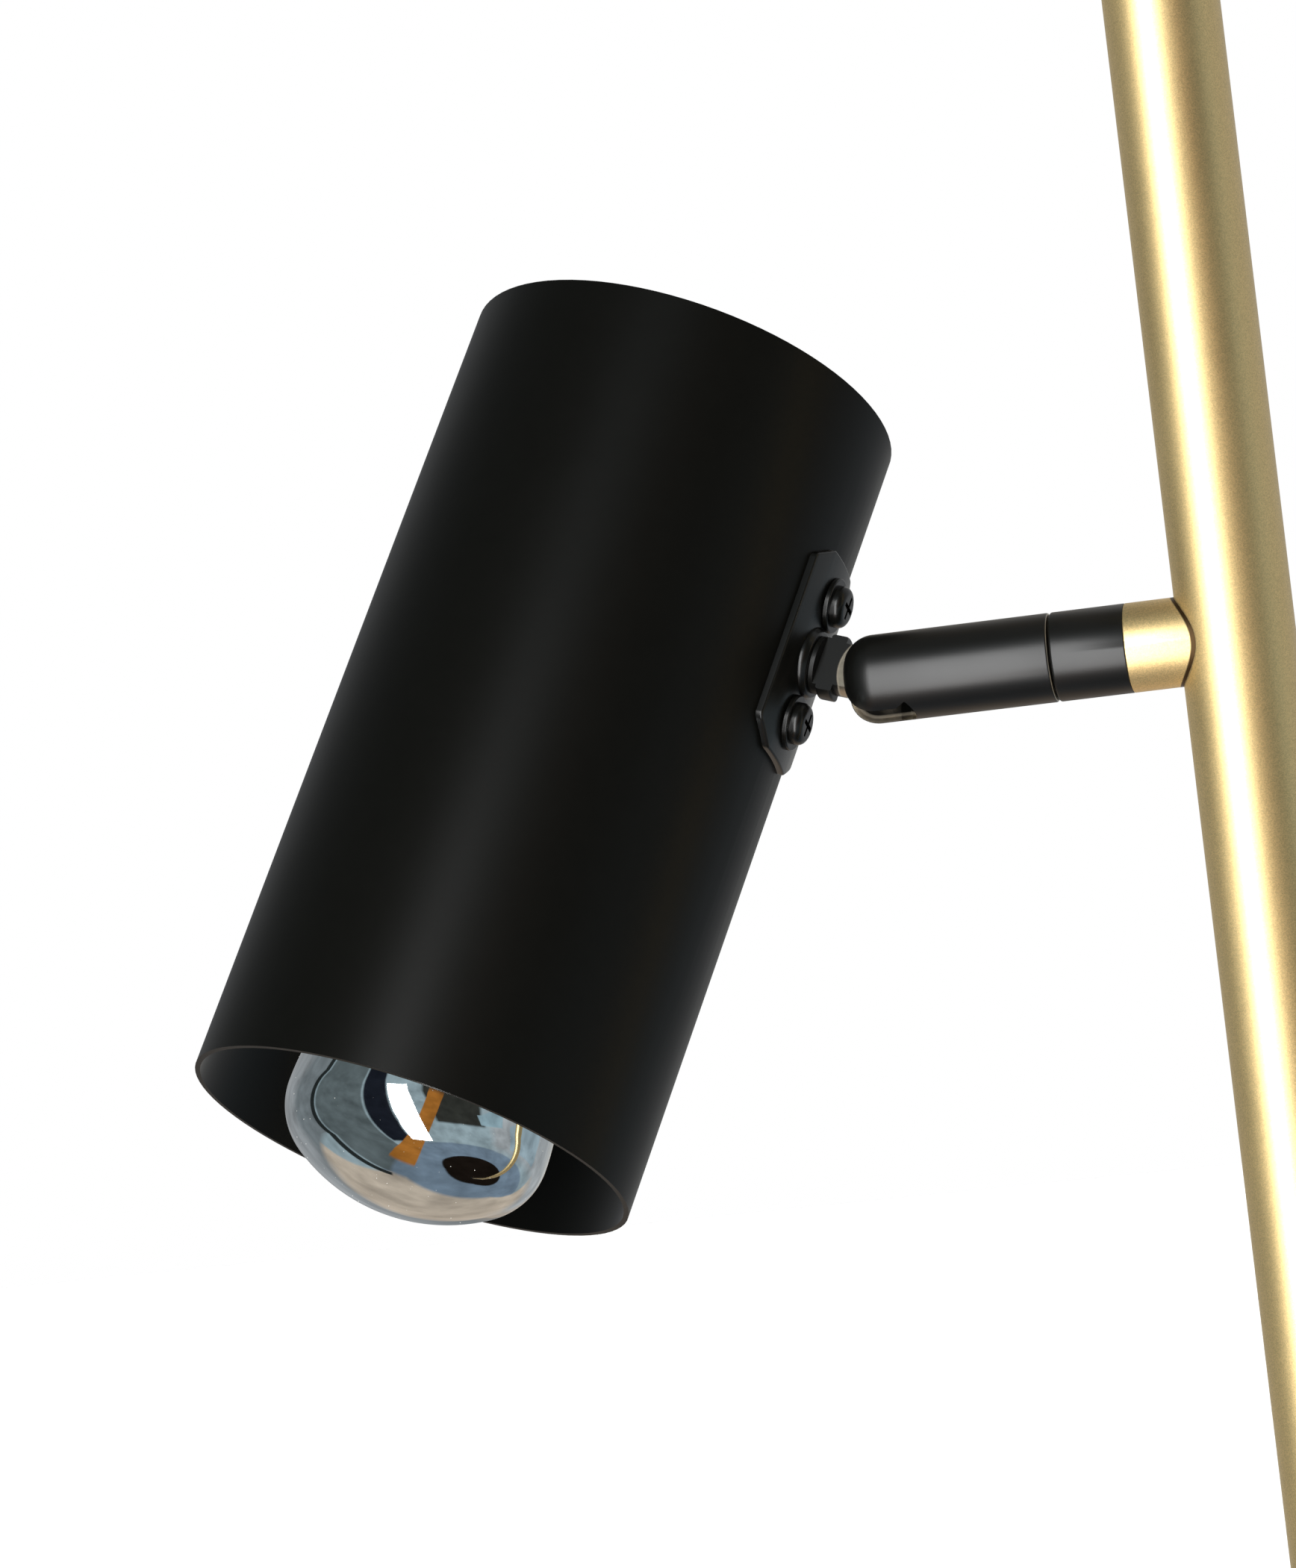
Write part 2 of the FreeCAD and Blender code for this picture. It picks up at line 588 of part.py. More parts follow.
def coil_spring():
    """Compression spring as one unbroken wire of round section."""
    wire_r = SPRING_WIRE_DIA / 2
    coil_r = SPRING_OUTER_DIA / 2 - wire_r
    climb = (SPRING_LENGTH - SPRING_WIRE_DIA) / SPRING_TURNS
    slope = climb / (2 * math.pi)

    def point(turn):
        angle = 2 * math.pi * turn
        return FreeCAD.Vector(coil_r * math.cos(angle), coil_r * math.sin(angle),
                              SPRING_FOOT_Z + wire_r + climb * turn)

    def direction(turn):
        angle = 2 * math.pi * turn
        return FreeCAD.Vector(-coil_r * math.sin(angle), coil_r * math.cos(angle), slope).normalize()

    edges = []
    for half in range(2 * SPRING_TURNS):
        low, high = half / 2, (half + 1) / 2
        edges += biarc(point(low), direction(low), point(high), direction(high))
    section = Part.Wire(Part.Circle(point(0), direction(0), wire_r).toShape())
    spring = Part.Wire(edges).makePipeShell([section], True, False)
    steps = 48
    rows = [point(i / steps) for i in range(steps * SPRING_TURNS + 1)]
    least = min((rows[i] - rows[j]).Length for i in range(0, len(rows), 8)
                for j in range(i + steps // 2, len(rows), 4))
    print("spring: least gap between its turns", round(least - SPRING_WIRE_DIA, 2), "mm")
    return spring


def top_bush():
    low = INNER_TOP_Z - TOP_BUSH_LENGTH
    outer_r = INNER_BORE_R - PRESS_FIT
    high = INNER_TOP_Z + TOP_BUSH_FLANGE
    bore_r = ROD_R + SLIDE_FIT
    return turned([(bore_r, low), (outer_r, low, ROUND_SMALL), (outer_r, INNER_TOP_Z), (INNER_R, INNER_TOP_Z),
                   (INNER_R, high, ROUND_LARGE), (bore_r, high, ROUND_FINE)])


def plunger_rod():
    head_r, thread_r = INNER_BORE_R - SLIDE_FIT, CEILING_THREAD_DIA / 2
    thread_top = CEILING_WEB_TOP_Z + CEILING_NUT + THREAD_PROUD
    return turned([(0, SPRING_TOP_Z), (head_r, SPRING_TOP_Z, ROUND_SMALL), (head_r, ROD_STOP_Z, ROUND_SMALL),
                   (ROD_R, ROD_STOP_Z), (ROD_R, ROD_SHOULDER_Z, ROUND_FINE), (thread_r, ROD_SHOULDER_Z),
                   (thread_r, thread_top, ROUND_SMALL), (0, thread_top)])


def ceiling_flip():
    """Turns a pad over and carries it to the top, with its grooved face up."""
    return FreeCAD.Placement(FreeCAD.Vector(0, 0, CEILING_TOP_Z), FreeCAD.Rotation(X, 180))


def ceiling_cup():
    """Shallow turned cup: it takes the pad above and stands on the rod's shoulder below."""
    outer = CEILING_DIA / 2
    recess_r = hex_room_r(CEILING_NUT_AF)
    neck = recess_r + FOOT_NECK_WALL
    rim_z = ROD_SHOULDER_Z + CEILING_HEIGHT
    pad_z = CEILING_TOP_Z - PAD_THICKNESS
    body = turned([(0, ROD_SHOULDER_Z), (neck, ROD_SHOULDER_Z, ROUND_MEDIUM),
                   (neck, ROD_SHOULDER_Z + CEILING_NECK, CEILING_NECK_FILLET),
                   (outer, rim_z - FOOT_RIM, ROUND_LARGE), (outer, rim_z, ROUND_MEDIUM), (0, rim_z)])
    body = body.cut(rod(CEILING_PAD_DIA / 2 + PRESS_FIT, pad_z, rim_z + PAST))
    body = body.cut(rod(recess_r, CEILING_WEB_TOP_Z, rim_z))
    return body.cut(rod(CEILING_THREAD_DIA / 2 + HOLE_FIT, ROD_SHOULDER_Z - PAST, rim_z))


def ceiling_nut():
    low = CEILING_WEB_TOP_Z
    nut = hexagon(CEILING_NUT_AF, low, low + CEILING_NUT)
    return nut.cut(rod(CEILING_THREAD_DIA / 2 + THREAD_FIT, low - PAST, low + CEILING_NUT + PAST))


# ---------------------------------------------------------------- arm and swivel
def arm_stub():
    """Short stub saddled on the pole, with a threaded spigot for the swivel's ring."""
    spigot_r = STUB_SPIGOT_DIA / 2
    spigot_end = STUB_END + STUB_SPIGOT_LENGTH
    body = turned([(0, 0), (ARM_R, 0), (ARM_R, STUB_END, SEAM_EDGE), (spigot_r, STUB_END),
                   (spigot_r, spigot_end, ROUND_SMALL), (0, spigot_end)], X)
    body = body.cut(rod(POLE_R + PRESS_FIT, -ARM_DIA, ARM_DIA))
    return body.cut(rod(NIPPLE_DIA / 2 + THREAD_FIT, 0, spigot_end + PAST, X))


def nut_seat(bore_r, half_width):
    """Distance from a round bore's axis to a flat nut's face that seats on the bore."""
    return math.sqrt(bore_r ** 2 - half_width ** 2)


def arm_nipple():
    low = nut_seat(POLE_BORE_R, NIPPLE_NUT_AF / 2) - NIPPLE_NUT - THREAD_PROUD
    return sleeve(NIPPLE_DIA / 2, NIPPLE_BORE / 2, low, STUB_END + STUB_SPIGOT_LENGTH, X)


def arm_nut():
    """Nut inside the pole. Its flats stand upright, so its corners clear the round bore."""
    high = nut_seat(POLE_BORE_R, NIPPLE_NUT_AF / 2) - PRESS_FIT
    nut = hexagon(NIPPLE_NUT_AF, high - NIPPLE_NUT, high, X)
    return nut.cut(rod(NIPPLE_DIA / 2 + THREAD_FIT, high - NIPPLE_NUT - PAST, high + PAST, X))


def swivel_ring():
    """Fixed ring: screws on the stub and carries the barrel's spigot."""
    bore_r = PAN_SPIGOT_DIA / 2 + RUN_FIT
    return turned([(CHAMBER_R, STUB_END), (ARM_R, STUB_END, SEAM_EDGE), (ARM_R, RING_END, ROUND_SMALL),
                   (bore_r, RING_END), (bore_r, CHAMBER_END), (CHAMBER_R, CHAMBER_END)], X)


def pan_nut():
    high = CHAMBER_END - RUN_FIT - PAN_WASHER
    body = rod(PAN_NUT_DIA / 2, high - PAN_NUT, high, X)
    return body.cut(rod(PAN_SPIGOT_DIA / 2 + THREAD_FIT, high - PAN_NUT - PAST, high + PAST, X))


def pan_washer():
    high = CHAMBER_END - RUN_FIT
    return sleeve(PAN_NUT_DIA / 2, PAN_SPIGOT_DIA / 2 + THREAD_FIT, high - PAN_WASHER, high, X)


def slot_tool():
    """Everything that the cutters take out of the barrel's nose, in the arm's frame."""
    pivot = FreeCAD.Vector(PIVOT_REACH, 0, 0)
    stem_r = STEM_DIA / 2 + STEM_ROOM
    sides = (-SLOT_HALF, SLOT_HALF)
    reach = ARM_R + PAST
    nose = PIVOT_FROM_NOSE + PAST
    # straight slot, open at the nose and along the underside
    straight = block((-SLOT_STRAIGHT_END, nose), sides, (-reach, 0))
    # room for the tongue's round end
    socket = block((-stem_r, nose), sides, (-stem_r, stem_r)).common(rod(stem_r, -reach, reach, Y))
    # the slot's flared end on the underside, wider than the slot and closed by an arc
    half_widths = [(0, SLOT_HALF), (SLOT_STRAIGHT_END, SLOT_HALF), (SLOT_FLARE_FULL, SLOT_HALF + SLOT_FLARE),
                   (SLOT_END_R + PAST, SLOT_HALF + SLOT_FLARE)]
    corners = [FreeCAD.Vector(-back, half, -reach) for back, half in half_widths]
    corners += [FreeCAD.Vector(-back, -half, -reach) for back, half in reversed(half_widths)]
    outline = Part.makePolygon(corners + corners[:1])
    pocket = Part.Face(outline).extrude(Z * (reach - SLOT_POCKET_TOP))
    pocket = pocket.common(rod(SLOT_END_R, -reach, reach, Z))
    # the stem's swing, up to its stop and down to its stop
    swings = []
    for angle in (-TILT_UP_STOP, -TILT_UP_STOP / 2, 0.0, TILT_DOWN_STOP / 2, TILT_DOWN_STOP):
        swing = block((0, 2 * nose), sides, (-stem_r, stem_r))
        swing.rotate(ORIGIN, Y, angle)
        swings.append(swing)
    tool = fused([straight, socket, pocket] + swings)
    tool.translate(pivot)
    return tool


def swivel_barrel():
    """Slotted barrel with a rounded nose, a hollow middle and the pan spigot behind."""
    spigot_r = PAN_SPIGOT_DIA / 2
    spigot_start = CHAMBER_END - RUN_FIT - PAN_WASHER - PAN_NUT
    body = turned([(0, spigot_start), (spigot_r, spigot_start, ROUND_FINE), (spigot_r, BARREL_START),
                   (ARM_R, BARREL_START, ROUND_SMALL), (ARM_R, BARREL_NOSE, BARREL_NOSE_ROUND),
                   (0, BARREL_NOSE)], X)
    body = body.cut(rod(NIPPLE_BORE / 2, spigot_start - PAST, BARREL_START, X))
    body = body.cut(rod(BARREL_BORE / 2, BARREL_START, PIVOT_REACH, X))
    body = body.cut(slot_tool())
    pivot = FreeCAD.Vector(PIVOT_REACH, 0, 0)
    body = body.cut(rod(PIN_DIA / 2 + PRESS_FIT, -ARM_R - PAST, ARM_R - PIN_SKIN, Y, pivot))
    return body.cut(rod(PIN_HEAD_DIA / 2 + PRESS_FIT, -ARM_R - PAST, PIN_SHOULDER, Y, pivot))


def pivot_pin():
    """Slotted pivot screw, put in from the far side and blind on the near side."""
    pivot = FreeCAD.Vector(PIVOT_REACH, 0, 0)
    top = PIN_SHOULDER - PIN_HEAD
    end = ARM_R - PIN_SKIN - PIN_END_GAP
    head_r, shank_r = PIN_HEAD_DIA / 2, PIN_DIA / 2
    pin = turned([(0, top), (head_r, top, ROUND_FINE), (head_r, PIN_SHOULDER), (shank_r, PIN_SHOULDER),
                  (shank_r, end, ROUND_FINE), (0, end)], Y, pivot)
    groove = block((PIVOT_REACH - PIN_HEAD_DIA, PIVOT_REACH + PIN_HEAD_DIA),
                   (top - PAST, PIN_SHOULDER - PIN_HEAD / 2), (-PIN_SLOT / 2, PIN_SLOT / 2))
    return pin.cut(groove)


# ---------------------------------------------------------------- knuckle and bracket
def knuckle():
    """Turned stem: a round end milled to a flat tongue, a stepped collar, a hollow thread."""
    stem_r = STEM_DIA / 2
    collar_r = STEM_COLLAR_DIA / 2
    neck_r = STEM_NECK_DIA / 2
    thread_r = STEM_THREAD_DIA / 2
    collar_end = STEM_COLLAR_START + STEM_COLLAR
    thread_end = HUB_FACE + STEM_THREAD
    body = turned([(0, -stem_r), (stem_r, -stem_r, stem_r), (stem_r, STEM_COLLAR_START),
                   (collar_r, STEM_COLLAR_START, ROUND_SMALL), (collar_r, collar_end, ROUND_SMALL),
                   (neck_r, collar_end), (neck_r, HUB_FACE, SEAM_EDGE), (thread_r, HUB_FACE),
                   (thread_r, thread_end, ROUND_SMALL), (0, thread_end)], X)
    half = TONGUE_THICKNESS / 2
    for side in (-1, 1):
        low, high = sorted((side * half, side * (collar_r + PAST)))
        around = (-collar_r - PAST, collar_r + PAST)
        body = body.cut(block((-stem_r - PAST, STEM_FLAT_END), (low, high), around))
    body = body.cut(rod(PIN_DIA / 2 + RUN_FIT, -half - PAST, half + PAST, Y))
    body = body.cut(rod(STEM_BORE / 2, WIRE_PORT_AT - WIRE_PORT_DIA / 4, thread_end + PAST, X))
    return body.cut(rod(WIRE_PORT_DIA / 2, -half - PAST, 0, Y, FreeCAD.Vector(WIRE_PORT_AT, 0, 0)))


def shade_centre(height=0.0):
    return FreeCAD.Vector(SHADE_AXIS, 0, height)


def screw_heights():
    return (-SCREW_SPACING / 2, SCREW_SPACING / 2)


def bracket_holes(screw_r, stem_r):
    """Drills for the two screws and the stem, long enough for plate, shade and strap."""
    start = HUB_FACE - PAST
    drills = [rod(screw_r, start, SHADE_AXIS, X, FreeCAD.Vector(0, 0, z)) for z in screw_heights()]
    return drills + [rod(stem_r, start, SHADE_AXIS, X)]


def bracket_plate():
    """Stamped octagonal plate, bent to the shade, with a raised ring round the stem."""
    half_w, half_l = PLATE_WIDTH / 2, PLATE_LENGTH / 2
    end_w, side_l = half_w - PLATE_CORNER_ACROSS, half_l - PLATE_CORNER_ALONG
    rows = [(half_w, side_l), (end_w, half_l), (-end_w, half_l), (-half_w, side_l),
            (-half_w, -side_l), (-end_w, -half_l), (end_w, -half_l), (half_w, -side_l)]
    corners = [(FreeCAD.Vector(HUB_FACE, y, z), PLATE_CORNER_ROUND) for y, z in rows]
    prism = Part.Face(Part.Wire(rounded_edges(corners))).extrude(X * (SHADE_AXIS - HUB_FACE))
    bend = sleeve(SHADE_R + PLATE_THICKNESS, SHADE_R + PRESS_FIT, -half_l - PAST, half_l + PAST, Z,
                  shade_centre())
    plate = prism.common(bend)
    rim = []
    for edge in plate.Edges:
        middle = edge.valueAt((edge.FirstParameter + edge.LastParameter) / 2)
        distance = math.hypot(middle.x - SHADE_AXIS, middle.y)
        if abs(distance - SHADE_R - PLATE_THICKNESS) < PRESS_FIT:
            rim.append(edge)
    plate = plate.makeFillet(PLATE_EDGE_ROUND, rim)
    base_r, top_r = BOSS_BASE_DIA / 2, BOSS_TOP_DIA / 2
    boss = turned([(0, HUB_FACE), (top_r, HUB_FACE, BOSS_ROUND), (base_r, PLATE_FACE), (base_r, SHADE_FACE),
                   (0, SHADE_FACE)], X)
    boss = boss.cut(rod(SHADE_R + PRESS_FIT, -base_r - PAST, base_r + PAST, Z, shade_centre()))
    body = fused([plate, boss])
    body = body.cut(rod(top_r - BOSS_SKIN, HUB_FACE + BOSS_SKIN, SHADE_FACE + PAST, X))
    for drill in bracket_holes(SCREW_DIA / 2 + HOLE_FIT, STEM_THREAD_DIA / 2 + PRESS_FIT):
        body = body.cut(drill)
    return body


def bracket_screws():
    """Two flanged pan-head screws with cross recesses, as one group."""
    flange_top = PLATE_FACE - SCREW_FLANGE
    head_top = flange_top - SCREW_HEAD
    end = PLATE_FACE + SCREW_LENGTH
    head_r, flange_r, shank_r = SCREW_HEAD_DIA / 2, SCREW_FLANGE_DIA / 2, SCREW_DIA / 2
    half_l, half_w = RECESS_LENGTH / 2, RECESS_WIDTH / 2
    depth = (head_top - PAST, head_top + RECESS_DEPTH)
    screws = []
    for z in screw_heights():
        centre = FreeCAD.Vector(0, 0, z)
        screw = turned([
            (0, head_top), (head_r, head_top, SCREW_HEAD_ROUND), (head_r, flange_top),
            (flange_r, flange_top, ROUND_FINE), (flange_r, PLATE_FACE), (shank_r, PLATE_FACE),
            (shank_r, end, ROUND_FINE), (0, end)], X, centre)
        for slot in (block(depth, (-half_l, half_l), (z - half_w, z + half_w)),
                     block(depth, (-half_w, half_w), (z - half_l, z + half_l))):
            screw = screw.cut(slot)
        screws.append(screw)
    return Part.makeCompound(screws)


def bracket_nuts():
    """Nuts of the two screws, inside the strap."""
    low = SHADE_AXIS - nut_seat(STRAP_BORE_R, SCREW_NUT_AF / 2) + PRESS_FIT
    nuts = []
    for z in screw_heights():
        centre = FreeCAD.Vector(0, 0, z)
        nut = hexagon(SCREW_NUT_AF, low, low + SCREW_NUT, X, centre)
        thread = rod(SCREW_DIA / 2 + THREAD_FIT, low - PAST, low + SCREW_NUT + PAST, X, centre)
        nuts.append(nut.cut(thread))
    return Part.makeCompound(nuts)


def stem_nut():
    low = SHADE_AXIS - nut_seat(STRAP_BORE_R, STEM_NUT_AF / 2) + PRESS_FIT
    nut = hexagon(STEM_NUT_AF, low, low + STEM_NUT, X)
    return nut.cut(rod(STEM_THREAD_DIA / 2 + THREAD_FIT, low - PAST, low + STEM_NUT + PAST, X))


# ---------------------------------------------------------------- shade
def shade_tube():
    body = sleeve(SHADE_R, SHADE_BORE_R, RIM, SHADE_TOP, Z, shade_centre())
    for drill in bracket_holes(SCREW_DIA / 2 + HOLE_FIT, STEM_THREAD_DIA / 2 + PRESS_FIT):
        body = body.cut(drill)
    return body


def shade_lid():
    high = SHADE_TOP - LID_RECESS
    return rod(SHADE_BORE_R - PRESS_FIT, high - LID_THICKNESS, high, Z, shade_centre())


def holder_strap():
    """Bent strap: one leg follows the shade's wall, the other crosses to its axis."""
    half = STRAP_WIDTH / 2
    cross_low = -STRAP_DROP - STRAP_THICKNESS
    wall = sleeve(SHADE_BORE_R - PRESS_FIT, STRAP_BORE_R, cross_low, STRAP_TOP, Z, shade_centre())
    leg = wall.common(block((SHADE_FACE, SHADE_AXIS), (-half, half), (cross_low, STRAP_TOP)))
    cross = block((SHADE_FACE, SHADE_AXIS), (-half, half), (cross_low, -STRAP_DROP))
    cross = fused([cross, rod(half, cross_low, -STRAP_DROP, Z, shade_centre())])
    cross = cross.common(rod(SHADE_BORE_R - PRESS_FIT, cross_low, -STRAP_DROP, Z, shade_centre()))
    body = fused([leg, cross])
    for drill in bracket_holes(SCREW_DIA / 2 + HOLE_FIT, STEM_THREAD_DIA / 2 + HOLE_FIT):
        body = body.cut(drill)
    return body.cut(rod(HOLDER_NIPPLE_DIA / 2 + HOLE_FIT, cross_low - PAST, PAST - STRAP_DROP, Z,
                        shade_centre()))


# ---------------------------------------------------------------- lampholder and bulb
def holder_nipple():
    low = HOLDER_SEAT - HOLDER_NIPPLE_LENGTH / 2
    return sleeve(HOLDER_NIPPLE_DIA / 2, HOLDER_NIPPLE_BORE / 2, low, low + HOLDER_NIPPLE_LENGTH, Z,
                  shade_centre())


def holder_nut():
    low = -STRAP_DROP
    nut = hexagon(HOLDER_NUT_AF, low, low + HOLDER_NUT, Z, shade_centre())
    return nut.cut(rod(HOLDER_NIPPLE_DIA / 2 + THREAD_FIT, low - PAST, low + HOLDER_NUT + PAST, Z,
                       shade_centre()))


def holder_cavity_r():
    return CAP_DIA / 2 + SLIDE_FIT + HOLDER_SHELL_WALL


def holder_floor():
    """Station of the cavity's floor, where the centre contact sits."""
    return BULB_TIP + CONTACT_THICKNESS


def lampholder():
    """Moulded lampholder with a shouldered skirt, hollow for the bulb's cap."""
    top_r, skirt_r, cavity_r = HOLDER_TOP_DIA / 2, HOLDER_DIA / 2, holder_cavity_r()
    shoulder = HOLDER_SEAT - HOLDER_TOP_LENGTH
    nipple_r = HOLDER_NIPPLE_DIA / 2 + THREAD_FIT
    nipple_end = HOLDER_SEAT - HOLDER_NIPPLE_LENGTH / 2
    hole_r = HOLDER_WIRE_HOLE_DIA / 2
    return turned([
        (nipple_r, HOLDER_SEAT), (top_r, HOLDER_SEAT, ROUND_LARGE), (top_r, shoulder, ROUND_MEDIUM),
        (skirt_r, shoulder - HOLDER_SLOPE, ROUND_LARGE), (skirt_r, HOLDER_MOUTH, ROUND_LARGE),
        (cavity_r, HOLDER_MOUTH, ROUND_SMALL), (cavity_r, holder_floor()), (hole_r, holder_floor()),
        (hole_r, nipple_end), (nipple_r, nipple_end)], Z, shade_centre())


def holder_shell():
    """Metal screw shell that grips the bulb's cap."""
    outer = holder_cavity_r() - PRESS_FIT
    inner = outer - HOLDER_SHELL_WALL + 2 * PRESS_FIT
    return sleeve(outer, inner, HOLDER_MOUTH + SHELL_RECESS, holder_floor(), Z, shade_centre())


def holder_contact():
    return rod(CONTACT_DIA / 2, BULB_TIP, BULB_TIP + CONTACT_THICKNESS, Z, shade_centre())


def bulb_cap():
    """Screw cap with rolled thread rings."""
    crest, root = CAP_DIA / 2, CAP_DIA / 2 - CAP_THREAD_DEPTH
    rows = [(0, CAP_TOP), (root, CAP_TOP)]
    rings = int((CAP_LENGTH - CAP_PLAIN - CAP_SKIRT) / CAP_THREAD_PITCH)
    for i in range(rings):
        high = CAP_TOP - CAP_PLAIN - i * CAP_THREAD_PITCH
        crest_high, crest_low, ring_foot = [high - CAP_THREAD_PITCH * share for share in CAP_RIDGE]
        rows += [(root, high), (crest, crest_high), (crest, crest_low), (root, ring_foot)]
    rows += [(root, CAP_FOOT), (0, CAP_FOOT)]
    return turned(rows, Z, shade_centre())


def cap_tip():
    """Insulator cone and the centre contact on it."""
    root = CAP_DIA / 2 - CAP_THREAD_DEPTH
    tip_r = CAP_TIP_DIA / 2
    return turned([(0, CAP_TOP), (root - CAP_CURL, CAP_TOP), (tip_r, CAP_TOP + CAP_CONE),
                   (tip_r, BULB_TIP, ROUND_SMALL), (0, BULB_TIP)], Z, shade_centre())


def bowl_point(station, inset=0.0):
    """Radius of the bowl's side at a station."""
    rise = station - BULB_EQUATOR
    return BULB_R - BOWL_ARC + math.sqrt((BOWL_ARC - inset) ** 2 - rise ** 2)


def bulb_bowl():
    """Clear glass bowl and neck, from the silvering's edge back."""
    neck_r = BULB_NECK_DIA / 2
    neck_low = BULB_EQUATOR + math.sqrt(BOWL_ARC ** 2 - (neck_r - BULB_R + BOWL_ARC) ** 2)
    edge = BULB_EQUATOR + SILVER_EDGE
    middle = (edge + neck_low) / 2
    axis = shade_centre()

    def spot(radius, station):
        return axis + X * radius + Z * station

    outer = Part.Arc(spot(neck_r, neck_low), spot(bowl_point(middle), middle), spot(bowl_point(edge), edge))
    inner = Part.Arc(spot(bowl_point(edge, GLASS_WALL), edge), spot(bowl_point(middle, GLASS_WALL), middle),
                     spot(bowl_point(neck_low, GLASS_WALL), neck_low))
    cap_r = CAP_DIA / 2 - CAP_THREAD_DEPTH
    rim = Part.makePolygon([spot(bowl_point(edge), edge), spot(bowl_point(edge, GLASS_WALL), edge)])
    neck = Part.makePolygon([spot(bowl_point(neck_low, GLASS_WALL), neck_low),
                             spot(cap_r - GLASS_WALL, CAP_FOOT), spot(cap_r, CAP_FOOT),
                             spot(neck_r, neck_low)])
    outline = [outer.toShape(), rim, inner.toShape(), neck]
    wire = Part.Wire(Part.__sortEdges__([e for s in outline for e in s.Edges]))
    return Part.Face(wire).revolve(axis, Z, 360)


def bulb_dome():
    """Silvered front: the widest part's side, a tight shoulder and a flatter crown, three tangent arcs."""
    centre = shade_centre(BULB_EQUATOR)
    reach = BULB_R - DOME_EDGE_ARC
    crown = (reach ** 2 + DOME_DEPTH ** 2 - DOME_EDGE_ARC ** 2) / (2 * (DOME_DEPTH - DOME_EDGE_ARC))
    crown_centre = DOME_DEPTH - crown
    meet = math.atan2(reach, -crown_centre)

    def spot(radius, depth):
        return centre + X * radius - Z * depth

    def on_side(rise, inset):
        return spot(bowl_point(BULB_EQUATOR + rise, inset), -rise)

    def on_shoulder(angle, inset):
        r = DOME_EDGE_ARC - inset
        return spot(reach + r * math.sin(angle), r * math.cos(angle))

    def on_crown(angle, inset):
        r = crown - inset
        return spot(r * math.sin(angle), crown_centre + r * math.cos(angle))

    edges = []
    for inset in (0, GLASS_WALL):
        side = [on_side(rise, inset) for rise in (SILVER_EDGE, SILVER_EDGE / 2, 0)]
        shoulder = [on_shoulder(angle, inset) for angle in (math.pi / 2, (math.pi / 2 + meet) / 2, meet)]
        front = [on_crown(meet, inset), on_crown(meet / 2, inset), on_crown(0, inset)]
        edges += [Part.Arc(*points).toShape() for points in (side, shoulder, front)]
    edges.append(Part.LineSegment(on_side(SILVER_EDGE, 0), on_side(SILVER_EDGE, GLASS_WALL)).toShape())
    edges.append(Part.LineSegment(spot(0, DOME_DEPTH), spot(0, DOME_DEPTH - GLASS_WALL)).toShape())
    wire = Part.Wire(Part.__sortEdges__(edges))
    return Part.Face(wire).revolve(centre, Z, 360)


def capsule_top():
    return BULB_EQUATOR + CAPSULE_BELOW_EQUATOR + CAPSULE_LENGTH


def bulb_capsule():
    """Small sealed lamp inside the bowl, with a pointed tip."""
    r = CAPSULE_DIA / 2
    high = capsule_top()
    low = high - CAPSULE_LENGTH
    return turned([(0, high), (r, high, ROUND_MEDIUM), (r, low + CAPSULE_TIP, ROUND_SOFT),
                   (CAPSULE_TIP_DIA / 2, low), (0, low)], Z, shade_centre())


def bulb_supports():
    """Two stiff wires with a glass bead between them that hold the capsule."""
    bottom = capsule_top()
    top = CAP_FOOT
    bead_z = bottom + (top - bottom) * BEAD_AT
    half = WIRE_SPREAD / 2
    wires = [rod(WIRE_DIA / 2, bottom, top, Z, shade_centre() + Y * side) for side in (-half, half)]
    bead = rod(BEAD_DIA / 2, -half - BEAD_OVERHANG, half + BEAD_OVERHANG, Y, shade_centre(bead_z))
    return fused(wires + [bead])


# ---------------------------------------------------------------- build
def build():
    write("foot_pad", end_pad(PAD_DIA))
    write("middle_tube", pole_tube(1))
    write("lower_coupler", coupler(1))
    write("upper_coupler", coupler(2))
    write("ceiling_pad", end_pad(CEILING_PAD_DIA), ceiling_flip())
    for make in (foot_cup, foot_bolt, foot_insert, lead_inlet, lower_tube, upper_tube, guide_bush,
                 clamp_collar, lock_screw, lock_knob, tube_glide, inner_tube, spring_seat, seat_pin,
                 coil_spring, top_bush, plunger_rod, ceiling_cup, ceiling_nut):
        write(make.__name__, make())
    for make in (arm_stub, arm_nipple, arm_nut, swivel_ring):
        write(make.__name__, make(), ARM_FIXED)
    for make in (pan_nut, pan_washer, swivel_barrel, pivot_pin):
        write(make.__name__, make(), ARM_PANNED)
    for make in (knuckle, bracket_plate, bracket_screws, bracket_nuts, stem_nut, shade_tube, shade_lid,
                 holder_strap, holder_nipple, holder_nut, lampholder, holder_shell, holder_contact,
                 bulb_cap, cap_tip, bulb_bowl, bulb_dome, bulb_capsule, bulb_supports):
        write(make.__name__, make(), HEAD)


build()
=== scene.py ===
"""Looks of a floor-to-ceiling pole lamp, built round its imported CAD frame."""
import json
import math

import bmesh
import bpy
from bpy.props import FloatProperty, FloatVectorProperty, PointerProperty
from mathutils import Matrix, Vector


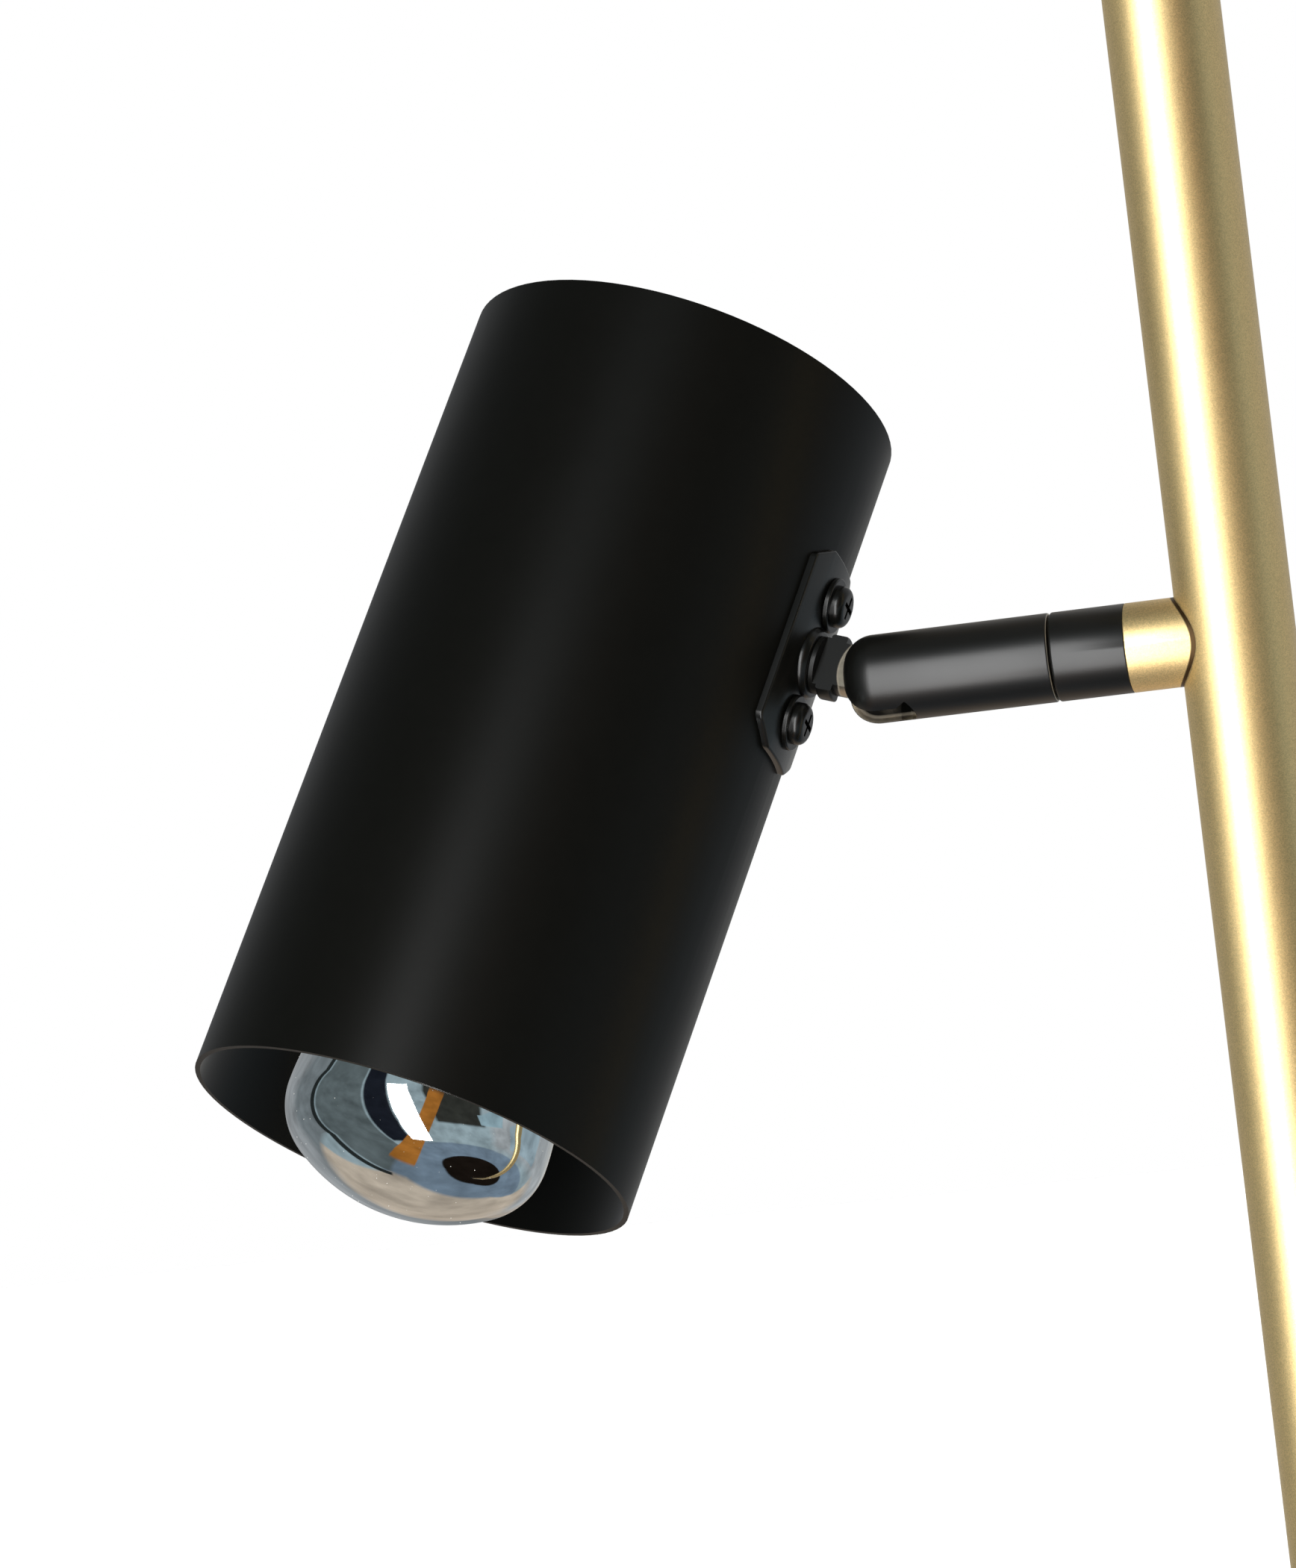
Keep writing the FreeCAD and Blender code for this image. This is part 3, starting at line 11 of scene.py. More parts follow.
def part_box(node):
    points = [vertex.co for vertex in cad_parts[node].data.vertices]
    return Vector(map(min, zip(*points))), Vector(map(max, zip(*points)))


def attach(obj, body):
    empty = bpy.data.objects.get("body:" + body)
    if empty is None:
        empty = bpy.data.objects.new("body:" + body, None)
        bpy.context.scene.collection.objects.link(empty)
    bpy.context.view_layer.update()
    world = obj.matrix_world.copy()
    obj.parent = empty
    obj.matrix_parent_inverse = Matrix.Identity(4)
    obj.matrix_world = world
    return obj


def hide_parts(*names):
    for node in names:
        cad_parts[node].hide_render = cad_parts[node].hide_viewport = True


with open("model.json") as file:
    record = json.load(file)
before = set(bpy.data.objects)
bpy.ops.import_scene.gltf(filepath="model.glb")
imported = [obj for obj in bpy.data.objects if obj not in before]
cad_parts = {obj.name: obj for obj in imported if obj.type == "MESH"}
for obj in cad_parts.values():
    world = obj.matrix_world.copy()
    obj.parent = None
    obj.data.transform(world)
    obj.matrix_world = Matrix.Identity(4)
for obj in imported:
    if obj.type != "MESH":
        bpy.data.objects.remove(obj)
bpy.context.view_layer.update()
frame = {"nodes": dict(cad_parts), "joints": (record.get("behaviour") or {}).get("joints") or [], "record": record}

bl_info = {
    "name": "Tension Pole Lamp",
    "version": (1, 0, 0),
    "blender": (4, 5, 0),
    "location": "3D View > Sidebar > Pole Lamp",
    "description": "Dresses the pole lamp's frame with its finishes, bulb, hardware and studio",
    "category": "Object",
}

NODES = frame["nodes"]
JOINTS = {joint["name"]: joint for joint in frame["joints"]}

ARM_HEIGHT = JOINTS["pan"]["pos_m"][2]
PIVOT = Vector(JOINTS["tilt"]["pos_m"])
PAN_AT_REST = math.radians(26.4)
TILT_AT_REST = math.radians(19.9)
SILVER_END = -0.086    # how far along the shade from the pivot the silvering reaches, in metres
VIEW_AHEAD = Vector((-0.2143, 0.9767, 0.0))
VIEW_RIGHT = Vector((0.9767, 0.2143, 0.0))


def shade_frame():
    """Matrix of the head: x from the pivot to the shade, y along the pin, z to the closed end."""
    turn = (Matrix.Rotation(math.pi, 4, "Z") @ Matrix.Rotation(PAN_AT_REST, 4, "X")
            @ Matrix.Rotation(-TILT_AT_REST, 4, "Y"))
    return Matrix.Translation(PIVOT) @ turn


HEAD = shade_frame()


# ---------------------------------------------------------------- settings
def colour(name, description, default):
    return FloatVectorProperty(name=name, description=description, subtype="COLOR", size=3,
                               min=0.0, max=1.0, default=default)


def length(name, description, default):
    return FloatProperty(name=name, description=description, subtype="DISTANCE", unit="LENGTH",
                         min=0.0, default=default, precision=5)


class LampFinishes(bpy.types.PropertyGroup):
    gold: colour("Gold", "Champagne gold of the pole and the stub", (0.84, 0.635, 0.305))
    gold_roughness: FloatProperty(name="Gold roughness", description="How satin the gold is",
                                  min=0.0, max=1.0, default=0.46)
    black: colour("Black", "Satin black of the shade and the swivel", (0.0020, 0.0020, 0.0016))
    black_roughness: FloatProperty(name="Black roughness", description="How satin the black is",
                                   min=0.0, max=1.0, default=0.36)
    bare_metal: colour("Bare metal", "Metal that shows where the coat is cut", (0.42, 0.37, 0.29))
    mirror: colour("Mirror", "Silvering of the bulb's front", (0.64, 0.69, 0.71))


class LampSizes(bpy.types.PropertyGroup):
    flake: length("Flake size", "Size of the flakes in the gold", 0.00018)
    grain: length("Coat grain", "Size of the grain in the black coat", 0.00035)
    paint_edge: length("Paint edge", "Radius round the pivot where the coat has been masked", 0.0088)


class LampStudio(bpy.types.PropertyGroup):
    backdrop: FloatProperty(name="Backdrop", description="Brightness of the white surround",
                            min=0.0, default=1.0)
    key: FloatProperty(name="Key softbox", description="Power of the tall softbox by the camera",
                       subtype="POWER", unit="POWER", min=0.0, default=16.0)
    pole: FloatProperty(name="Pole softbox", description="Power of the tall softbox for the gold pieces",
                        subtype="POWER", unit="POWER", min=0.0, default=17.0)
    overhead: FloatProperty(name="Overhead light", description="Strength of the light over the floor",
                            min=0.0, default=3.6)


# ---------------------------------------------------------------- node helpers
class Tree:
    """Adds and links nodes of one node tree."""

    def __init__(self, tree):
        self.tree = tree

    def add(self, kind, **properties):
        node = self.tree.nodes.new(kind)
        for name, value in properties.items():
            setattr(node, name, value)
        return node

    def link(self, source, target):
        self.tree.links.new(source, target)

    def feed(self, socket, value):
        """Links an output to a socket, or sets the socket's own value."""
        if isinstance(value, bpy.types.NodeSocket):
            self.link(value, socket)
        else:
            socket.default_value = value

    def math(self, operation, *values, clamp=False):
        node = self.add("ShaderNodeMath", operation=operation, use_clamp=clamp)
        for i, value in enumerate(values):
            self.feed(node.inputs[i], value)
        return node.outputs[0]

    def vector_math(self, operation, *values):
        node = self.add("ShaderNodeVectorMath", operation=operation)
        for i, value in enumerate(values):
            self.feed(node.inputs[i], value)
        gives_number = operation in {"LENGTH", "DISTANCE", "DOT_PRODUCT"}
        return node.outputs["Value"] if gives_number else node.outputs[0]

    def map_range(self, value, low, high, to_low=0.0, to_high=1.0):
        node = self.add("ShaderNodeMapRange")
        for i, item in enumerate((value, low, high, to_low, to_high)):
            self.feed(node.inputs[i], item)
        return node.outputs[0]

    def mix(self, factor, a, b):
        node = self.add("ShaderNodeMix", data_type="RGBA")
        self.feed(node.inputs["Factor"], factor)
        self.feed(node.inputs[6], a)
        self.feed(node.inputs[7], b)
        return node.outputs[2]


def new_group(name, inputs, outputs):
    """Empty shader node group with named sockets, and its input and output nodes."""
    group = bpy.data.node_groups.new(name, "ShaderNodeTree")
    for label, kind, default in inputs:
        socket = group.interface.new_socket(label, in_out="INPUT", socket_type=kind)
        if default is not None:
            socket.default_value = default
    for label, kind in outputs:
        group.interface.new_socket(label, in_out="OUTPUT", socket_type=kind)
    tree = Tree(group)
    return group, tree, tree.add("NodeGroupInput"), tree.add("NodeGroupOutput")


def rgb(values):
    return (values[0], values[1], values[2], 1.0)


FLOAT, COLOUR, VECTOR = "NodeSocketFloat", "NodeSocketColor", "NodeSocketVector"


def fine_grain_group():
    """Orange-peel and fine grain of a sprayed coat."""
    group, t, given, out = new_group(
        "Fine Grain", [("Vector", VECTOR, None), ("Grain Size", FLOAT, 0.0004),
                       ("Roughness", FLOAT, 0.35), ("Spread", FLOAT, 0.08)],
        [("Height", FLOAT), ("Roughness", FLOAT)])
    scale = t.math("DIVIDE", 1.0, given.outputs["Grain Size"])
    fine = t.add("ShaderNodeTexNoise")
    t.link(given.outputs["Vector"], fine.inputs["Vector"])
    t.link(scale, fine.inputs["Scale"])
    fine.inputs["Detail"].default_value = 2.0
    broad = t.add("ShaderNodeTexNoise")
    t.link(given.outputs["Vector"], broad.inputs["Vector"])
    broad_share = 0.02
    t.link(t.math("MULTIPLY", scale, broad_share), broad.inputs["Scale"])
    broad.inputs["Detail"].default_value = 3.0
    t.link(fine.outputs["Fac"], out.inputs["Height"])
    centred = t.math("SUBTRACT", broad.outputs["Fac"], 0.5)
    shift = t.math("MULTIPLY", centred, given.outputs["Spread"])
    t.link(t.math("ADD", given.outputs["Roughness"], shift, clamp=True), out.inputs["Roughness"])
    return group


def flake_group():
    """Metal flakes under a clear coat: each cell has its own brightness and a small tilt."""
    group, t, given, out = new_group(
        "Metal Flake", [("Vector", VECTOR, None), ("Flake Size", FLOAT, 0.0002), ("Base", COLOUR, None),
                        ("Contrast", FLOAT, 0.25)],
        [("Colour", COLOUR), ("Height", FLOAT)])
    cells = t.add("ShaderNodeTexVoronoi")
    t.link(given.outputs["Vector"], cells.inputs["Vector"])
    t.link(t.math("DIVIDE", 1.0, given.outputs["Flake Size"]), cells.inputs["Scale"])
    split = t.add("ShaderNodeSeparateColor")
    t.link(cells.outputs["Color"], split.inputs[0])
    shift = t.math("MULTIPLY", t.math("SUBTRACT", split.outputs[0], 0.5), given.outputs["Contrast"])
    factor = t.math("ADD", 1.0, shift)
    t.link(t.vector_math("MULTIPLY", given.outputs["Base"], factor), out.inputs["Colour"])
    t.link(split.outputs[1], out.inputs["Height"])
    return group


def wear_group():
    """Faint uneven tone, as handled metal and moulded plastic have."""
    group, t, given, out = new_group(
        "Handling Tone", [("Vector", VECTOR, None), ("Base", COLOUR, None), ("Size", FLOAT, 0.01),
                          ("Amount", FLOAT, 0.15)],
        [("Colour", COLOUR), ("Height", FLOAT)])
    noise = t.add("ShaderNodeTexNoise")
    t.link(given.outputs["Vector"], noise.inputs["Vector"])
    t.link(t.math("DIVIDE", 1.0, given.outputs["Size"]), noise.inputs["Scale"])
    noise.inputs["Detail"].default_value = 6.0
    shift = t.math("MULTIPLY", t.math("SUBTRACT", noise.outputs["Fac"], 0.5), given.outputs["Amount"])
    factor = t.math("ADD", 1.0, shift)
    t.link(t.vector_math("MULTIPLY", given.outputs["Base"], factor), out.inputs["Colour"])
    t.link(noise.outputs["Fac"], out.inputs["Height"])
    return group


def lathe_lines_group():
    """Fine turning lines across an axis, for machined metal."""
    group, t, given, out = new_group(
        "Lathe Lines", [("Vector", VECTOR, None), ("Pitch", FLOAT, 0.0002)], [("Height", FLOAT)])
    wave = t.add("ShaderNodeTexWave", wave_type="BANDS", bands_direction="X")
    t.link(given.outputs["Vector"], wave.inputs["Vector"])
    wave_period = 0.3    # roughly the length of one band, in metres, at a scale of 1
    t.link(t.math("DIVIDE", wave_period, given.outputs["Pitch"]), wave.inputs["Scale"])
    wave.inputs["Distortion"].default_value = 0.6
    t.link(wave.outputs["Fac"], out.inputs["Height"])
    return group


GROUPS = {}


def build_groups():
    GROUPS["grain"] = fine_grain_group()
    GROUPS["flake"] = flake_group()
    GROUPS["wear"] = wear_group()
    GROUPS["lathe"] = lathe_lines_group()


class Finish:
    """A material with a Principled shader, and the helpers its recipe needs."""

    def __init__(self, name, **sockets):
        self.material = bpy.data.materials.new(name)
        self.material.use_nodes = True
        self.tree = Tree(self.material.node_tree)
        self.shader = self.material.node_tree.nodes["Principled BSDF"]
        self.coordinates = self.tree.add("ShaderNodeTexCoord").outputs["Object"]
        for label, value in sockets.items():
            self.shader.inputs[label.replace("_", " ")].default_value = value

    def group(self, key, vector=None, **values):
        node = self.tree.add("ShaderNodeGroup", node_tree=GROUPS[key])
        self.tree.link(vector or self.coordinates, node.inputs["Vector"])
        for label, value in values.items():
            self.tree.feed(node.inputs[label.replace("_", " ")], value)
        return node

    def drive(self, label, output):
        self.tree.link(output, self.shader.inputs[label])

    def bump(self, height, distance, strength=1.0):
        node = self.tree.add("ShaderNodeBump")
        node.inputs["Strength"].default_value = strength
        node.inputs["Distance"].default_value = distance
        self.tree.link(height, node.inputs["Height"])
        self.tree.link(node.outputs["Normal"], self.shader.inputs["Normal"])


# ---------------------------------------------------------------- finishes
# Painted shadow where the stub meets the pole: the gold turns dark brown within these radii of the pole's axis
STUB_SEAM_SHADOW_RADII = (0.01155, 0.01175)    # the painted seam shadow is full at the first radius from the pole's axis
SEAM_SHADOW_COLOUR = (0.07, 0.04, 0.015, 1.0)

# The barrel's rounded nose is 6 mm round a core; the slot's walls are bare where they lie just under the coat
BARREL_CORE_RADIUS = 0.0025
BARREL_CORE_END = 0.06895
BARE_UNDER_COAT = (0.00580, 0.00592)
BARE_FROM = (0.0044, 0.0052)


def gold_coat(finishes, sizes, name="champagne_gold"):
    """Satin champagne gold with a fine flake."""
    f = Finish(name, Metallic=1.0, Roughness=finishes.gold_roughness, Coat_Weight=0.25,
               Coat_Roughness=0.25)
    flakes = f.group("flake", Flake_Size=sizes.flake, Base=rgb(finishes.gold), Contrast=0.28)
    f.drive("Base Color", flakes.outputs["Colour"])
    grain = f.group("grain", Grain_Size=sizes.flake * 2, Roughness=finishes.gold_roughness, Spread=0.06)
    f.drive("Roughness", grain.outputs["Roughness"])
    f.bump(flakes.outputs["Height"], 0.000012, 0.35)
    return f


def stub_finish(finishes, sizes):
    """The same gold, with a painted shadow as a dark seam where the stub meets the pole."""
    f = gold_coat(finishes, sizes, "stub_gold")
    t = f.tree
    from_pole = t.vector_math("LENGTH", t.vector_math("MULTIPLY", f.coordinates, (1.0, 1.0, 0.0)))
    # painted shadow: the gold darkens towards the pole where the stub meets it
    seam_shadow = t.map_range(from_pole, STUB_SEAM_SHADOW_RADII[1], STUB_SEAM_SHADOW_RADII[0])
    gold = f.shader.inputs["Base Color"].links[0].from_socket
    f.drive("Base Color", t.mix(seam_shadow, gold, SEAM_SHADOW_COLOUR))
    return f.material


def black_finish(finishes, sizes, name="satin_black", roughness=None, shine=0.40):
    """Satin black coat with a fine grain and a faint uneven tone."""
    roughness = finishes.black_roughness if roughness is None else roughness
    f = Finish(name, Metallic=0.0, Roughness=roughness)
    f.shader.inputs["Specular IOR Level"].default_value = shine
    tone = f.group("wear", Base=rgb(finishes.black), Size=0.004, Amount=0.25)
    f.drive("Base Color", tone.outputs["Colour"])
    grain = f.group("grain", Grain_Size=sizes.grain, Roughness=roughness, Spread=0.06)
    f.drive("Roughness", grain.outputs["Roughness"])
    f.bump(grain.outputs["Height"], 0.00001, 0.5)
    return f


def cut_metal(f, finishes, mask, roughness=0.32):
    """Bare metal where the mask is 1, over a black coat's recipe."""
    t = f.tree
    tone = f.group("wear", Base=rgb(finishes.bare_metal), Size=0.0012, Amount=0.5)
    coat_colour = f.shader.inputs["Base Color"].links[0].from_socket
    coat_roughness = f.shader.inputs["Roughness"].links[0].from_socket
    f.drive("Base Color", t.mix(mask, coat_colour, tone.outputs["Colour"]))
    f.drive("Metallic", mask)
    f.drive("Roughness", t.map_range(mask, 0.0, 1.0, coat_roughness, roughness))
    return f.material


def barrel_finish(finishes, sizes):
    """Black coat outside, bare metal on the walls of the slot."""
    f = black_finish(finishes, sizes, "barrel_black")
    t = f.tree
    split = t.add("ShaderNodeSeparateXYZ")
    t.link(f.coordinates, split.inputs[0])
    forward = t.math("MULTIPLY", split.outputs["X"], -1.0)
    rise = t.math("SUBTRACT", split.outputs["Z"], ARM_HEIGHT)
    radius = t.math("SQRT", t.math("ADD", t.math("MULTIPLY", split.outputs["Y"], split.outputs["Y"]),
                                   t.math("MULTIPLY", rise, rise)))
    nose = t.math("MAXIMUM", t.math("SUBTRACT", forward, BARREL_CORE_END), 0.0)
    side = t.math("MAXIMUM", t.math("SUBTRACT", radius, BARREL_CORE_RADIUS), 0.0)
    depth = t.math("SQRT", t.math("ADD", t.math("MULTIPLY", nose, nose), t.math("MULTIPLY", side, side)))
    under_coat = t.map_range(depth, BARE_UNDER_COAT[1], BARE_UNDER_COAT[0])
    near_surface = t.map_range(depth, BARE_FROM[0], BARE_FROM[1])
    return cut_metal(f, finishes, t.math("MULTIPLY", under_coat, near_surface))


def knuckle_finish(finishes, sizes):
    """Black coat on the stem, bare metal on the part of the tongue that was masked."""
    f = black_finish(finishes, sizes, "knuckle_black")
    t = f.tree
    distance = t.vector_math("DISTANCE", f.coordinates, tuple(PIVOT))
    edge = 0.0002
    mask = t.map_range(distance, sizes.paint_edge + edge, sizes.paint_edge - edge)
    return cut_metal(f, finishes, mask)


def metal_finish(name, base, roughness, pitch=0.0003):
    """Turned or plated metal, with fine lathe lines and a handled tone."""
    f = Finish(name, Metallic=1.0, Roughness=roughness)
    tone = f.group("wear", Base=rgb(base), Size=0.006, Amount=0.18)
    f.drive("Base Color", tone.outputs["Colour"])
    lines = f.group("lathe", Pitch=pitch)
    grain = f.group("grain", Grain_Size=0.0004, Roughness=roughness, Spread=0.12)
    f.drive("Roughness", grain.outputs["Roughness"])
    f.bump(lines.outputs["Height"], 0.000004, 0.3)
    return f.material


def moulded_finish(name, base, roughness, grain_size=0.0005, depth=0.00003):
    """Moulded rubber, plastic or nylon with its tool's grain."""
    f = Finish(name, Metallic=0.0, Roughness=roughness)
    tone = f.group("wear", Base=rgb(base), Size=0.005, Amount=0.3)
    f.drive("Base Color", tone.outputs["Colour"])
    grain = f.group("grain", Grain_Size=grain_size, Roughness=roughness, Spread=0.15)
    f.drive("Roughness", grain.outputs["Roughness"])
    f.bump(grain.outputs["Height"], depth, 0.6)
    return f.material


def glass_finish(name, tint, specks=0.0):
    """Clear glass, with a little dust as faint rough spots."""
    f = Finish(name, Metallic=0.0, Roughness=0.0, IOR=1.47, Base_Color=rgb(tint))
    f.shader.inputs["Transmission Weight"].default_value = 1.0
    t = f.tree
    cells = t.add("ShaderNodeTexVoronoi", feature="F1")
    t.link(f.coordinates, cells.inputs["Vector"])
    specks_per_metre = 260.0
    cells.inputs["Scale"].default_value = specks_per_metre
    f.drive("Roughness", t.map_range(cells.outputs["Distance"], 0.05, 0.10, specks, 0.0))
    return f.material


def mirror_finish(finishes):
    """Silvering seen through the bulb's thin glass, a little uneven."""
    f = Finish("bowl_silvering", Metallic=1.0, Roughness=0.03)
    tone = f.group("wear", Base=rgb(finishes.mirror), Size=0.02, Amount=0.12)
    f.drive("Base Color", tone.outputs["Colour"])
    f.bump(tone.outputs["Height"], 0.0001, 0.15)
    return f.material


FINISHES = {}


def build_finishes(finishes, sizes):
    build_groups()
    FINISHES["gold"] = gold_coat(finishes, sizes).material
    FINISHES["black"] = black_finish(finishes, sizes).material
    FINISHES["shade"] = black_finish(finishes, sizes, "shade_black", 0.38, 0.10).material
    FINISHES["hardware"] = black_finish(finishes, sizes, "bracket_black", 0.28, 0.30).material
    FINISHES["stub"] = stub_finish(finishes, sizes)
    FINISHES["barrel"] = barrel_finish(finishes, sizes)
    FINISHES["knuckle"] = knuckle_finish(finishes, sizes)
    FINISHES["brass"] = metal_finish("satin_brass", (0.78, 0.57, 0.27), 0.25)
    FINISHES["steel"] = metal_finish("plated_steel", (0.56, 0.57, 0.58), 0.30)
    FINISHES["bright_steel"] = metal_finish("polished_rod", (0.72, 0.72, 0.73), 0.12)
    FINISHES["spring"] = metal_finish("spring_wire", (0.34, 0.34, 0.36), 0.28)
    FINISHES["aluminium"] = metal_finish("turned_aluminium", (0.74, 0.74, 0.75), 0.28)
    FINISHES["rubber"] = moulded_finish("black_rubber", (0.018, 0.018, 0.018), 0.72, 0.0009, 0.00006)
    FINISHES["plastic"] = moulded_finish("black_plastic", (0.016, 0.016, 0.017), 0.42)
    FINISHES["nylon"] = moulded_finish("white_nylon", (0.72, 0.70, 0.66), 0.48)
    FINISHES["holder"] = moulded_finish("dark_holder", (0.020, 0.019, 0.018), 0.30)
    FINISHES["glass"] = glass_finish("clear_glass", (0.98, 0.99, 1.0), 0.25)
    FINISHES["mirror"] = mirror_finish(finishes)
    FINISHES["dust"] = moulded_finish("dust_specks", (0.62, 0.60, 0.56), 0.8)


# ---------------------------------------------------------------- mesh helpers
def finish_piece(mesh, name, body, material, replaced=()):
    """Makes the object, gives it its finish and hands it to the frame."""
    mesh.materials.clear()
    mesh.materials.append(material)
    piece = bpy.data.objects.new(name, mesh)
    bpy.context.scene.collection.objects.link(piece)
    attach(piece, body)
    if replaced:
        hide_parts(*replaced)
    return piece


def smooth_copy(node, angle=28.0):
    """Merged copy of a CAD node's mesh with smooth shading between its sharp edges."""
    mesh = NODES[node].data.copy()
    mesh.name = node + "_mesh"
    work = bmesh.new()
    work.from_mesh(mesh)
    bmesh.ops.remove_doubles(work, verts=work.verts, dist=1e-6)
    bmesh.ops.dissolve_degenerate(work, edges=work.edges, dist=1e-7)
    for face in work.faces:
        face.smooth = True
    work.to_mesh(mesh)
    work.free()
    if "custom_normal" in mesh.attributes:
        mesh.attributes.remove(mesh.attributes["custom_normal"])
    mesh.set_sharp_from_angle(angle=math.radians(angle))
    return mesh


BODIES = frame["record"]["behaviour"]["bodies"]
BODY_OF = {node: body for body, members in BODIES.items() for node in members}


def dress(node, key, angle=28.0):
    """Replaces a CAD node with its smooth copy in a finish."""
    return finish_piece(smooth_copy(node, angle), node + "_skin", BODY_OF[node], FINISHES[key],
                        (node,))


def coat(node, key):
    """Gives a hidden CAD node its finish as it is."""
    mesh = NODES[node].data
    mesh.materials.clear()
    mesh.materials.append(FINISHES[key])


def settings():
    scene = bpy.context.scene
    return scene.lamp_finishes, scene.lamp_sizes, scene.lamp_studio


# ---------------------------------------------------------------- repeated detail
def new_geometry_tree(name, inputs):
    """Empty geometry tree with named inputs and one geometry output."""
    tree = bpy.data.node_groups.new(name, "GeometryNodeTree")
    tree.interface.new_socket("Geometry", in_out="INPUT", socket_type="NodeSocketGeometry")
    for label, kind, default in inputs:
        socket = tree.interface.new_socket(label, in_out="INPUT", socket_type=kind)
        if default is not None:
            socket.default_value = default
    tree.interface.new_socket("Geometry", in_out="OUTPUT", socket_type="NodeSocketGeometry")
    t = Tree(tree)
    return tree, t, t.add("NodeGroupInput"), t.add("NodeGroupOutput")


def finish_tree(t, given, out, instances):
    """Realizes the instances and gives them the material."""
    realize = t.add("GeometryNodeRealizeInstances")
    paint = t.add("GeometryNodeSetMaterial")
    t.link(instances, realize.inputs["Geometry"])
    t.link(realize.outputs["Geometry"], paint.inputs["Geometry"])
    t.link(given.outputs["Material"], paint.inputs["Material"])
    t.link(paint.outputs["Geometry"], out.inputs["Geometry"])


def rib_ring_tree():
    """A ring of round ribs that stand along the ring's axis."""
    tree, t, given, out = new_geometry_tree(
        "Rib Ring", [("Count", "NodeSocketInt", 24), ("Ring Radius", "NodeSocketFloat", 0.01),
                     ("Rib Radius", "NodeSocketFloat", 0.0005), ("Rib Length", "NodeSocketFloat", 0.005),
                     ("Material", "NodeSocketMaterial", None)])
    ring = t.add("GeometryNodeMeshCircle")
    rib = t.add("GeometryNodeMeshCylinder")
    rib.inputs["Vertices"].default_value = 10
    place = t.add("GeometryNodeInstanceOnPoints")
    t.link(given.outputs["Count"], ring.inputs["Vertices"])
    t.link(given.outputs["Ring Radius"], ring.inputs["Radius"])
    t.link(given.outputs["Rib Radius"], rib.inputs["Radius"])
    t.link(given.outputs["Rib Length"], rib.inputs["Depth"])
    t.link(ring.outputs["Mesh"], place.inputs["Points"])
    t.link(rib.outputs["Mesh"], place.inputs["Instance"])
    finish_tree(t, given, out, place.outputs["Instances"])
    return tree


def dust_tree():
    """Dust specks scattered over a surface."""
    tree, t, given, out = new_geometry_tree(
        "Dust", [("Density", "NodeSocketFloat", 50000.0), ("Speck Radius", "NodeSocketFloat", 0.00005),
                 ("Seed", "NodeSocketInt", 7), ("Material", "NodeSocketMaterial", None)])
    scatter = t.add("GeometryNodeDistributePointsOnFaces")
    speck = t.add("GeometryNodeMeshIcoSphere")
    size = t.add("FunctionNodeRandomValue")
    place = t.add("GeometryNodeInstanceOnPoints")
    t.link(given.outputs["Geometry"], scatter.inputs["Mesh"])
    t.link(given.outputs["Density"], scatter.inputs["Density"])
    t.link(given.outputs["Seed"], scatter.inputs["Seed"])
    t.link(given.outputs["Speck Radius"], speck.inputs["Radius"])
    smallest, largest = 0.4, 1.8
    size.inputs[2].default_value = smallest
    size.inputs[3].default_value = largest
    t.link(given.outputs["Seed"], size.inputs["Seed"])
    t.link(scatter.outputs["Points"], place.inputs["Points"])
    t.link(speck.outputs["Mesh"], place.inputs["Instance"])
    t.link(size.outputs[1], place.inputs["Scale"])
    finish_tree(t, given, out, place.outputs["Instances"])
    return tree


def grown(tree, name, base, material, **values):
    """Plain mesh that a geometry tree makes from a base mesh."""
    seed_object = bpy.data.objects.new(name + "_seed", base)
    bpy.context.scene.collection.objects.link(seed_object)
    modifier = seed_object.modifiers.new(name, "NODES")
    modifier.node_group = tree
    items = tree.interface.items_tree
    sockets = {item.name: item.identifier for item in items if item.in_out == "INPUT"}
    for label, value in values.items():
        modifier[sockets[label.replace("_", " ")]] = value
    modifier[sockets["Material"]] = material
    bpy.context.view_layer.update()
    evaluated = seed_object.evaluated_get(bpy.context.evaluated_depsgraph_get())
    mesh = bpy.data.meshes.new_from_object(evaluated)
    mesh.name = name
    seed_object.modifiers.clear()
    bpy.data.objects.remove(seed_object)
    for polygon in mesh.polygons:
        polygon.use_smooth = True
    return mesh


def knob_grip():
    """Round ribs on the lock knob's rim."""
    low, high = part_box("lock_knob")
    middle = (low + high) / 2
    radius = (high.z - low.z) / 2
    rib = 0.0007
    sink, reach, centre = 0.75, 0.55, 0.62    # shares of the rib's radius and of the knob's length
    base = bpy.data.meshes.new("knob_grip_base")
    mesh = grown(rib_ring_tree(), "knob_grip", base, FINISHES["plastic"], Count=30,
                 Ring_Radius=radius - rib * sink, Rib_Radius=rib, Rib_Length=(high.x - low.x) * reach)
    mesh.transform(Matrix.Translation((low.x + (high.x - low.x) * centre, middle.y, middle.z))
                   @ Matrix.Rotation(math.pi / 2, 4, "Y"))
    finish_piece(mesh, "knob_grip", "lock_knob", FINISHES["plastic"], ())


def silvered_bowl():
    """The bowl in clear glass, silvered on its front part."""
    piece = dress("bulb_bowl", "glass", 60.0)
    piece.data.materials.append(FINISHES["mirror"])
    to_head = HEAD.inverted()
    for polygon in piece.data.polygons:
        if (to_head @ polygon.center).z < SILVER_END:
            polygon.material_index = 1


def bulb_dust():
    """Dust on the silvered front."""
    mesh = grown(dust_tree(), "bulb_dust", smooth_copy("bulb_dome"), FINISHES["dust"], Density=26000.0,
                 Speck_Radius=0.00005, Seed=11)
    finish_piece(mesh, "bulb_dust", "head", FINISHES["dust"], ())


